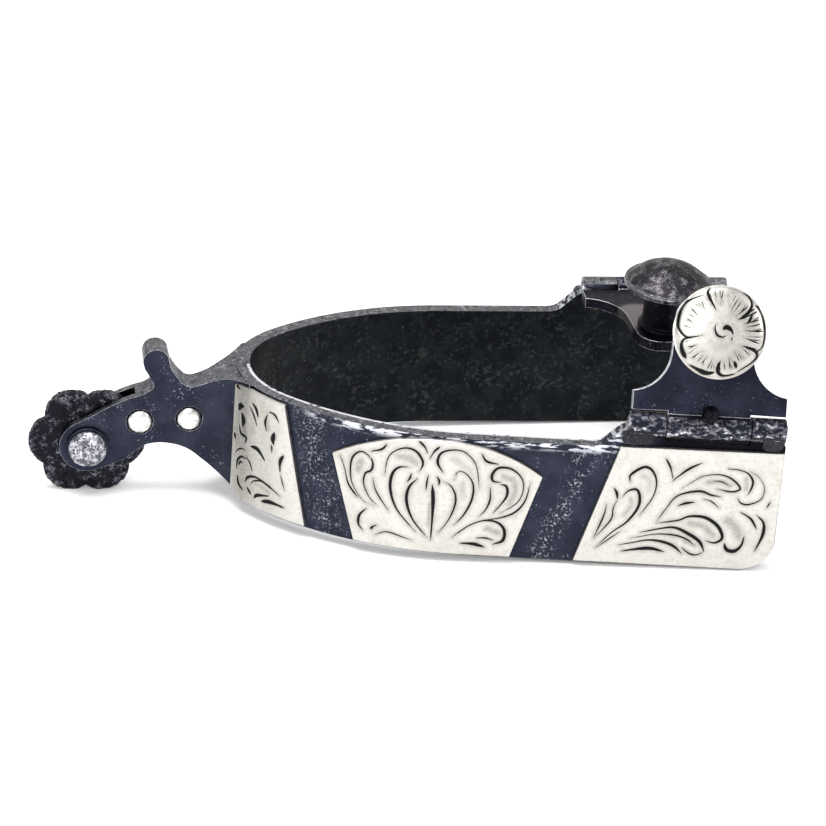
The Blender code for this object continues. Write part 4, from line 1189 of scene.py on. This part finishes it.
def engrave_end(art):
    """Scrolls that spring from the plate's lower rear corner, on a punched ground."""
    art.line([(98.5, 4.6), (102.1, 9.0), (105.4, 12.1), (107.6, 16.0), (107.8, 19.0), (106.8, 21.1),
              (104.8, 20.6), (103.6, 18.9)], 0.42, 0.68)
    art.line([(101.3, 21.2), (102.1, 19.8), (102.4, 18.2)], 0.40)
    art.line([(102.5, 18.2), (101.7, 15.7), (101.4, 12.3), (97.9, 7.1)], 0.26)
    art.line([(99.9, 16.8), (99.7, 13.9), (98.3, 8.8), (97.7, 7.1)], 0.28)
    art.line([(105.0, 23.1), (104.9, 25.0), (107.8, 27.3), (110.0, 26.5), (111.4, 23.3), (110.9, 19.1),
              (108.2, 14.0)], 0.42, 0.2)
    art.line([(112.9, 30.0), (114.3, 27.6), (115.3, 24.4)], 0.32, 0.3)
    art.line([(121.8, 29.3), (118.8, 27.5), (116.1, 24.9), (115.2, 23.8)], 0.38, 0.4)
    art.line([(112.6, 12.5), (114.6, 16.5), (116.4, 19.5), (118.8, 20.9), (122.4, 21.6), (125.1, 20.7),
              (127.7, 20.4)], 0.36, 0.7)
    art.line([(117.6, 22.0), (120.9, 24.7), (123.0, 25.9), (126.6, 26.4), (129.7, 25.3), (131.9, 22.9),
              (129.8, 21.9), (126.0, 22.6)], 0.32, 0.7)
    art.line([(125.0, 24.6), (127.2, 24.5), (129.2, 23.4)], 0.22)
    art.line([(128.3, 28.1), (130.8, 28.0), (133.2, 27.2), (134.7, 25.2), (134.6, 23.1), (133.9, 21.4)],
             0.34, 0.7)
    art.line([(133.4, 27.8), (135.8, 26.5), (137.7, 23.7), (137.4, 20.4), (134.6, 18.7), (132.5, 19.0),
              (131.6, 20.4)], 0.28, 0.85)
    art.line([(117.4, 17.3), (119.2, 18.1), (121.3, 18.5)], 0.40)
    art.line([(123.4, 19.5), (125.3, 19.0), (127.4, 17.3)], 0.22)
    art.line([(112.8, 12.2), (117.9, 13.3), (120.3, 14.5), (123.7, 14.6), (126.4, 13.4), (128.3, 11.5),
              (129.2, 9.0), (127.5, 7.6), (125.2, 8.1)], 0.50, 0.62)
    art.line([(109.0, 9.4), (114.8, 11.0), (117.4, 11.2), (120.1, 10.1), (123.7, 7.8),
              (125.2, 5.0)], 0.50, 0.72)
    art.line([(106.5, 7.6), (108.9, 8.2), (113.2, 9.2), (117.7, 9.1), (120.7, 8.1),
              (122.8, 6.5)], 0.30, 0.7)
    art.line([(125.2, 5.0), (123.5, 4.0), (121.6, 4.3), (119.5, 5.9)], 0.28)
    art.line([(104.0, 5.6), (107.2, 6.4), (111.2, 7.4), (114.9, 7.1), (117.7, 6.0),
              (119.7, 4.2)], 0.42, 0.75)
    art.line([(104.9, 3.9), (108.9, 4.8), (112.2, 5.1), (115.3, 4.4)], 0.52, 0.6)
    art.line([(129.9, 7.6), (130.7, 5.9), (132.6, 5.6), (134.1, 7.2), (134.5, 9.7)], 0.56, 0.35)
    art.line([(132.7, 16.5), (135.5, 14.8), (137.3, 12.0)], 0.36, 0.6)
    art.line([(136.9, 15.8), (138.8, 13.8), (139.0, 10.4), (137.6, 5.9)], 0.46, 0.5)
    art.line([(139.7, 19.7), (139.0, 18.0)], 0.26)
    art.line([(98.6, 4.4), (104.3, 9.6)], 0.22)
    art.tint([(105.6, 18.5), (106.2, 16.8), (104.5, 14.0)], 0.9, 0.45)
    art.tint([(107.6, 25.0), (109.6, 24.2), (110.0, 21.0)], 1.0, 0.35)
    art.tint([(124.0, 24.2), (127.4, 24.6), (129.2, 23.6)], 0.9, 0.6)
    art.tint([(133.0, 25.6), (133.4, 23.0)], 0.8, 0.55)
    art.tint([(121.0, 12.8), (124.6, 12.0), (126.8, 9.8)], 1.1, 0.6)
    art.tint([(120.0, 8.0), (122.6, 6.6)], 0.7, 0.6)
    art.tint([(130.0, 14.0), (132.0, 12.4), (133.2, 10.0)], 1.4, 0.62)
    rear, pitch = (95.4, 2.0), 0.95
    art.dots([(rear[0] + pitch * (i + 0.5 * row), rear[1] + 0.85 * row) for row in (0, 1)
              for i in range(38)], 0.22, 0.30)
    art.dots([(139.6 + 0.9 * row, 9.0 + pitch * (i + 0.5 * row)) for row in (0, 1)
              for i in range(21)], 0.22, 0.30)
    art.dots([(112.0 + pitch * (i + 0.5 * row), 30.3 - 0.85 * row) for row in (0, 1)
              for i in range(27)], 0.2, 0.26)
    grounds = (((112.0, 15.0), 3.0), ((122.0, 17.0), 3.2), ((117.0, 24.0), 2.2), ((129.5, 17.0), 3.0),
               ((104.0, 6.5), 2.0), ((112.5, 20.0), 2.2), ((99.0, 3.4), 2.0), ((108.5, 10.2), 1.6))
    for centre, reach in grounds:
        for i in range(-4, 5):
            for j in range(-4, 5):
                x, z = 0.85 * (i + 0.5 * (j % 2)), 0.8 * j
                if hypot(x, z) < reach:
                    art.dots([(centre[0] + x, centre[1] + z)], 0.19, 0.28)


def engrave_heel(art):
    """Stacked curls along the rear edge, with a stem and loose strokes in front of them."""
    art.line([(8.3, 30.5), (10.0, 30.0)], 0.40)
    art.line([(10.1, 24.4), (10.6, 25.8), (11.8, 26.0)], 0.80)
    art.line([(11.1, 24.0), (12.0, 22.5), (11.8, 20.6)], 0.80)
    art.line([(10.7, 20.7), (11.4, 18.6), (13.4, 18.2), (13.2, 16.6)], 0.46)
    art.line([(9.0, 17.8), (9.6, 16.2)], 0.45)
    art.line([(13.7, 27.1), (15.2, 25.3), (16.7, 22.6)], 0.34)
    art.line([(14.5, 28.3), (15.9, 27.1), (16.8, 25.1)], 0.50)
    art.line([(19.7, 27.1), (19.1, 24.7), (19.8, 22.6)], 0.40)
    art.line([(20.0, 28.0), (21.7, 27.9), (23.1, 26.3)], 0.34)
    art.line([(15.1, 16.5), (17.1, 16.7), (18.6, 15.8), (20.0, 14.5)], 0.62, 0.4)
    art.line([(22.1, 23.1), (21.8, 21.0), (22.2, 19.9)], 0.70)
    art.line([(21.6, 19.7), (21.8, 17.6)], 0.28)
    art.line([(25.2, 17.9), (24.4, 15.9), (24.6, 13.2)], 0.52, 0.35)
    art.line([(24.7, 12.6), (26.3, 8.6)], 0.22)
    art.line([(10.8, 8.2), (11.0, 10.8), (12.4, 12.5), (14.2, 12.5)], 0.42)
    art.line([(11.3, 9.7), (12.2, 11.0), (13.0, 10.9)], 0.34)
    art.line([(13.7, 13.5), (15.4, 11.7), (16.3, 9.7)], 0.30)
    art.line([(11.4, 6.9), (12.0, 4.8), (13.7, 3.7)], 0.50)
    art.line([(14.2, 6.3), (15.0, 7.9), (17.5, 8.9), (21.4, 8.4), (25.2, 6.5)], 0.42, 0.15)
    art.line([(15.9, 6.1), (16.9, 7.6), (19.7, 8.6), (22.9, 7.4)], 0.30)
    art.line([(14.9, 5.1), (16.5, 3.6)], 0.42)
    art.line([(17.5, 3.1), (18.5, 4.3), (22.0, 5.5)], 0.50, 0.3)
    art.line([(19.9, 3.2), (22.5, 4.0), (26.5, 3.9)], 0.60, 0.35)
    art.line([(9.8, 12.4), (11.6, 14.4), (14.0, 14.8)], 0.26)
    art.tint([(11.5, 29.5), (12.0, 22.0), (13.0, 14.0), (13.5, 4.0)], 6.0, 0.62)
    art.tint([(17.5, 28.0), (18.0, 20.0), (19.5, 11.0), (21.0, 3.5)], 5.0, 0.32)
    art.tint([(13.2, 26.8), (14.6, 24.0), (16.0, 20.5)], 1.0, 0.55)
    art.tint([(10.6, 9.5), (11.6, 11.8), (13.4, 12.4)], 0.9, 0.5)
    art.tint([(11.9, 22.0), (13.0, 20.0), (13.5, 18.0)], 1.3, 0.8)
    art.tint([(9.6, 28.5), (11.0, 27.5)], 1.0, 0.45)
    art.tint([(20.0, 25.5), (20.4, 23.0)], 0.8, 0.5)
    art.tint([(16.5, 7.2), (19.5, 7.2), (22.0, 6.4)], 0.9, 0.55)
    art.tint([(13.5, 11.5), (15.5, 9.5)], 1.0, 0.5)


def heel_surface():
    """The outer face under the heel plate: the shank's flare, then the band."""
    outside = [tuple(map(float, on_heel(along, BAND_WALL))) for along in range(17, 33, 2)]
    seat = tuple(map(float, on_heel(SADDLE_REACH, BAND_WALL + GAP)))
    corners = shank_flare(3)[3:] + [seat] + outside
    path = np.array(smooth([(x, -y) for x, y in corners], 6))
    steps = np.hypot(*np.diff(path, axis=0).T)
    along = np.concatenate([[0.0], np.cumsum(steps)])
    slope = np.gradient(path, along, axis=0)
    normal = np.stack([slope[:, 1], -slope[:, 0]], axis=-1)
    normal /= np.linalg.norm(normal, axis=-1, keepdims=True)

    def surface(u, out):
        spot = [np.interp(u, along, path[:, k]) for k in (0, 1)]
        lean = [np.interp(u, along, normal[:, k]) for k in (0, 1)]
        return spot[0] + out * lean[0], spot[1] + out * lean[1]
    return surface


def make_plates():
    half_arc = degrees(acos(1 - 8.4 / 41.0))
    fan_top = arc((58.8, -9.8), 41.0, 90 + half_arc, 90 - half_arc, 40)
    low_rear, low_front = (40.8, 0.6), (77.8, 0.6)
    fan = ([low_rear, low_front], [low_front, fan_top[-1]], fan_top, [low_rear, fan_top[0]])
    engraved_plate("fan_silver", fan, near_arm, engrave_fan, "fan_plate")
    corner = arc((ARM_LENGTH - CORNER_RADIUS, CORNER_RADIUS + 0.3), CORNER_RADIUS - 0.3, -90, 0, 24)
    rear_low, rear_top, front_top = (93.4, 0.6), (101.7, 32.4), (141.5, 32.9)
    end = ([rear_low, *corner[:13]], [*corner[12:], front_top], [rear_top, front_top], [rear_low, rear_top])
    engraved_plate("end_silver", end, near_arm, engrave_end, "end_plate")
    rear = [(8.9, 2.9), (8.0, 30.4)]
    heel = ([(8.9, 2.9), (12.2, 0.7), (32.4, 0.7)], [(32.4, 0.7), (24.3, 31.3)],
            [(8.0, 30.4), (13.4, 31.3), (24.3, 31.3)], rear)
    engraved_plate("heel_silver", heel, heel_surface(), engrave_heel, "heel_plate")


def engrave_concho(art):
    """Six uneven petals that hook in at their notches, short radial cuts and a small curl."""
    art.line([(-1.5, 5.3), (-2.5, 6.9), (-3.4, 8.5), (-3.6, 9.4), (-3.0, 10.3)], 0.42, 0.6)
    art.line([(2.0, 10.9), (4.5, 10.0), (6.4, 8.6), (7.0, 7.1), (6.5, 5.5), (5.2, 4.1),
              (3.9, 3.3)], 0.48, 0.8)
    art.line([(-3.7, 8.1), (-5.0, 8.4), (-6.8, 7.7), (-8.4, 6.7), (-9.5, 5.2), (-10.1, 2.9),
              (-10.2, 1.0), (-9.5, -0.4), (-8.1, -1.5), (-6.0, -1.3), (-4.1, -0.8)], 0.38, 0.55)
    art.line([(-6.5, -1.5), (-8.3, -1.9), (-9.1, -2.9), (-8.9, -4.6), (-7.8, -6.6)], 0.56, 0.8)
    art.line([(-6.8, -8.1), (-4.9, -9.0), (-2.7, -9.8), (-0.8, -9.5)], 0.62, 0.6)
    art.line([(0.3, -6.7), (-0.1, -8.0), (0.0, -9.3), (0.9, -10.1), (2.4, -10.1), (4.3, -9.5)], 0.52, 0.3)
    art.line([(3.7, -6.6), (4.3, -8.2)], 0.50)
    art.line([(4.5, -9.2), (6.2, -8.0), (8.0, -6.7), (9.1, -5.3), (8.9, -4.3), (7.8, -3.6), (6.2, -3.1),
              (5.2, -2.8)], 0.44, 0.7)
    art.line([(7.3, -3.7), (8.8, -4.0), (10.0, -3.2), (10.5, -1.9), (10.6, 0.2), (10.4, 2.3),
              (10.0, 4.4), (9.2, 5.9), (7.9, 6.8)], 0.48, 0.85)
    art.line([(7.3, 5.1), (6.8, 3.6), (6.0, 2.4)], 0.42)
    art.line([(-1.3, 1.9), (-1.5, 0.7), (-0.9, -0.6), (0.4, -1.0), (1.4, -0.5)], 0.34)
    art.line([(0.4, 0.7), (1.1, 1.4), (2.2, 0.9), (2.9, -0.2)], 0.62, 0.4)
    art.line([(2.6, -0.9), (2.7, -1.9)], 0.24)
    petals = ((-20, 38, 6.2, 9.9, 0.34), (46, 66, 5.6, 9.0, 0.32), (70, 108, 7.2, 9.8, 0.24),
              (118, 172, 7.4, 9.0, 0.19), (200, 264, 6.9, 9.0, 0.24), (274, 294, 6.6, 9.2, 0.28),
              (300, 324, 6.0, 8.4, 0.28))
    for first, last, inner, outer, width in petals:
        count = round((last - first) / 6)
        for i in range(count + 1):
            uneven = sin(2.3 * i + first)
            angle = radians(first + (last - first) * i / count + 1.2 * uneven)
            start, end = inner - 0.5 * uneven, outer + 0.3 * sin(5.1 * i)
            bend = 0.07 * uneven
            art.line([(start * cos(angle + bend), start * sin(angle + bend)),
                      (end * cos(angle), end * sin(angle))], 0.7 * width * (0.85 + 0.25 * uneven), 0.65)
    art.tint(arc((0.2, 0.2), 3.4, 0, 360, 30), 0.7, 0.16)


def make_concho():
    """The silver face of the near button, as a fine polar grid."""
    base = HEAD_BASE + 1.9
    crown = 2.2
    top = base + 0.5
    angles = np.linspace(0, pi / 2, 90)
    profile = [(BUTTON_RADIUS * 0.96 * sin(a), top + crown * cos(a)) for a in angles]
    profile += [(BUTTON_RADIUS, base + 0.4), (BUTTON_RADIUS, base), (0.0, base)]
    points = turned_points(profile, 420)
    art = Engraving(points[..., :2])
    engrave_concho(art)
    upper = (np.arange(len(profile)) < len(angles))[:, None]
    cut = art.cut * upper
    points[..., 2] -= 0.16 * cut
    concho = grid_item("near_concho_face", points, ring=True, cut=cut, shade=art.shade * upper)
    give(concho, SILVER)
    place(concho, button_spot(NEAR), "near_button_leaf", "engraved_silver", "near_concho", sharp=50)


# ---------------------------------------------------------------- floor, lights and camera

def make_floor():
    bpy.ops.mesh.primitive_plane_add(size=6.0, location=(0, 0, 0))
    floor = bpy.context.object
    floor.name = "studio_floor"
    paper = bpy.data.materials.new("pale_paper")
    paper.use_nodes = True
    shader = paper.node_tree.nodes["Principled BSDF"]
    shader.inputs["Base Color"].default_value = (0.93, 0.93, 0.93, 1)
    shader.inputs["Roughness"].default_value = 1.0
    shader.inputs["Specular IOR Level"].default_value = 0.0
    floor.data.materials.append(paper)


def soft_box(name, place_at, target, size, power):
    light = bpy.data.lights.new(name, "AREA")
    light.shape = "DISK"
    light.size = size
    light.energy = power
    lamp = bpy.data.objects.new(name, light)
    bpy.context.scene.collection.objects.link(lamp)
    lamp.location = place_at
    lamp.rotation_euler = (Vector(target) - Vector(place_at)).to_track_quat("-Z", "Y").to_euler()


def make_studio():
    make_floor()
    soft_box("top_light", (-0.15, -0.05, 0.9), (0, 0, 0.02), 0.6, 7.0)
    soft_box("front_light", (-0.35, -0.9, 0.55), (0, 0, 0.02), 0.5, 5.0)
    soft_box("side_light", (0.9, -0.35, 0.45), (0, 0, 0.02), 0.4, 4.0)
    world = bpy.data.worlds.new("studio")
    bpy.context.scene.world = world
    world.use_nodes = True
    background = world.node_tree.nodes["Background"]
    background.inputs["Color"].default_value = (1, 1, 1, 1)
    background.inputs["Strength"].default_value = 0.9
    bpy.context.scene.view_settings.view_transform = "Standard"


def make_camera():
    """The photograph's view: azimuth, elevation and roll about a point near the middle."""
    azimuth, elevation, roll = (radians(a) for a in (VIEW_AZIMUTH, VIEW_ELEVATION, VIEW_ROLL))
    ahead = Vector((sin(azimuth) * cos(elevation), cos(azimuth) * cos(elevation), -sin(elevation)))
    level = Vector((cos(azimuth), -sin(azimuth), 0))
    upright = level.cross(ahead)
    right = cos(roll) * level + sin(roll) * upright
    up = cos(roll) * upright - sin(roll) * level
    data = bpy.data.cameras.new("photo_camera")
    data.lens = VIEW_LENS
    camera = bpy.data.objects.new("photo_camera", data)
    bpy.context.scene.collection.objects.link(camera)
    turn = Matrix((right, up, -ahead)).transposed().to_4x4()
    spot = STAND @ VIEW_TARGET - VIEW_DISTANCE * MM * ahead
    camera.matrix_world = Matrix.Translation(spot) @ turn
    bpy.context.scene.camera = camera


make_heel_band()
make_shank()
make_dots()
make_rowel()
make_rowel_pin()
for prefix, side in (("near", NEAR), ("far", FAR)):
    make_hinge_pin(prefix, side)
    make_leaf(prefix, side)
    make_post(prefix, side)
make_near_disc()
make_far_button()
make_concho()
make_plates()
make_studio()
make_camera()
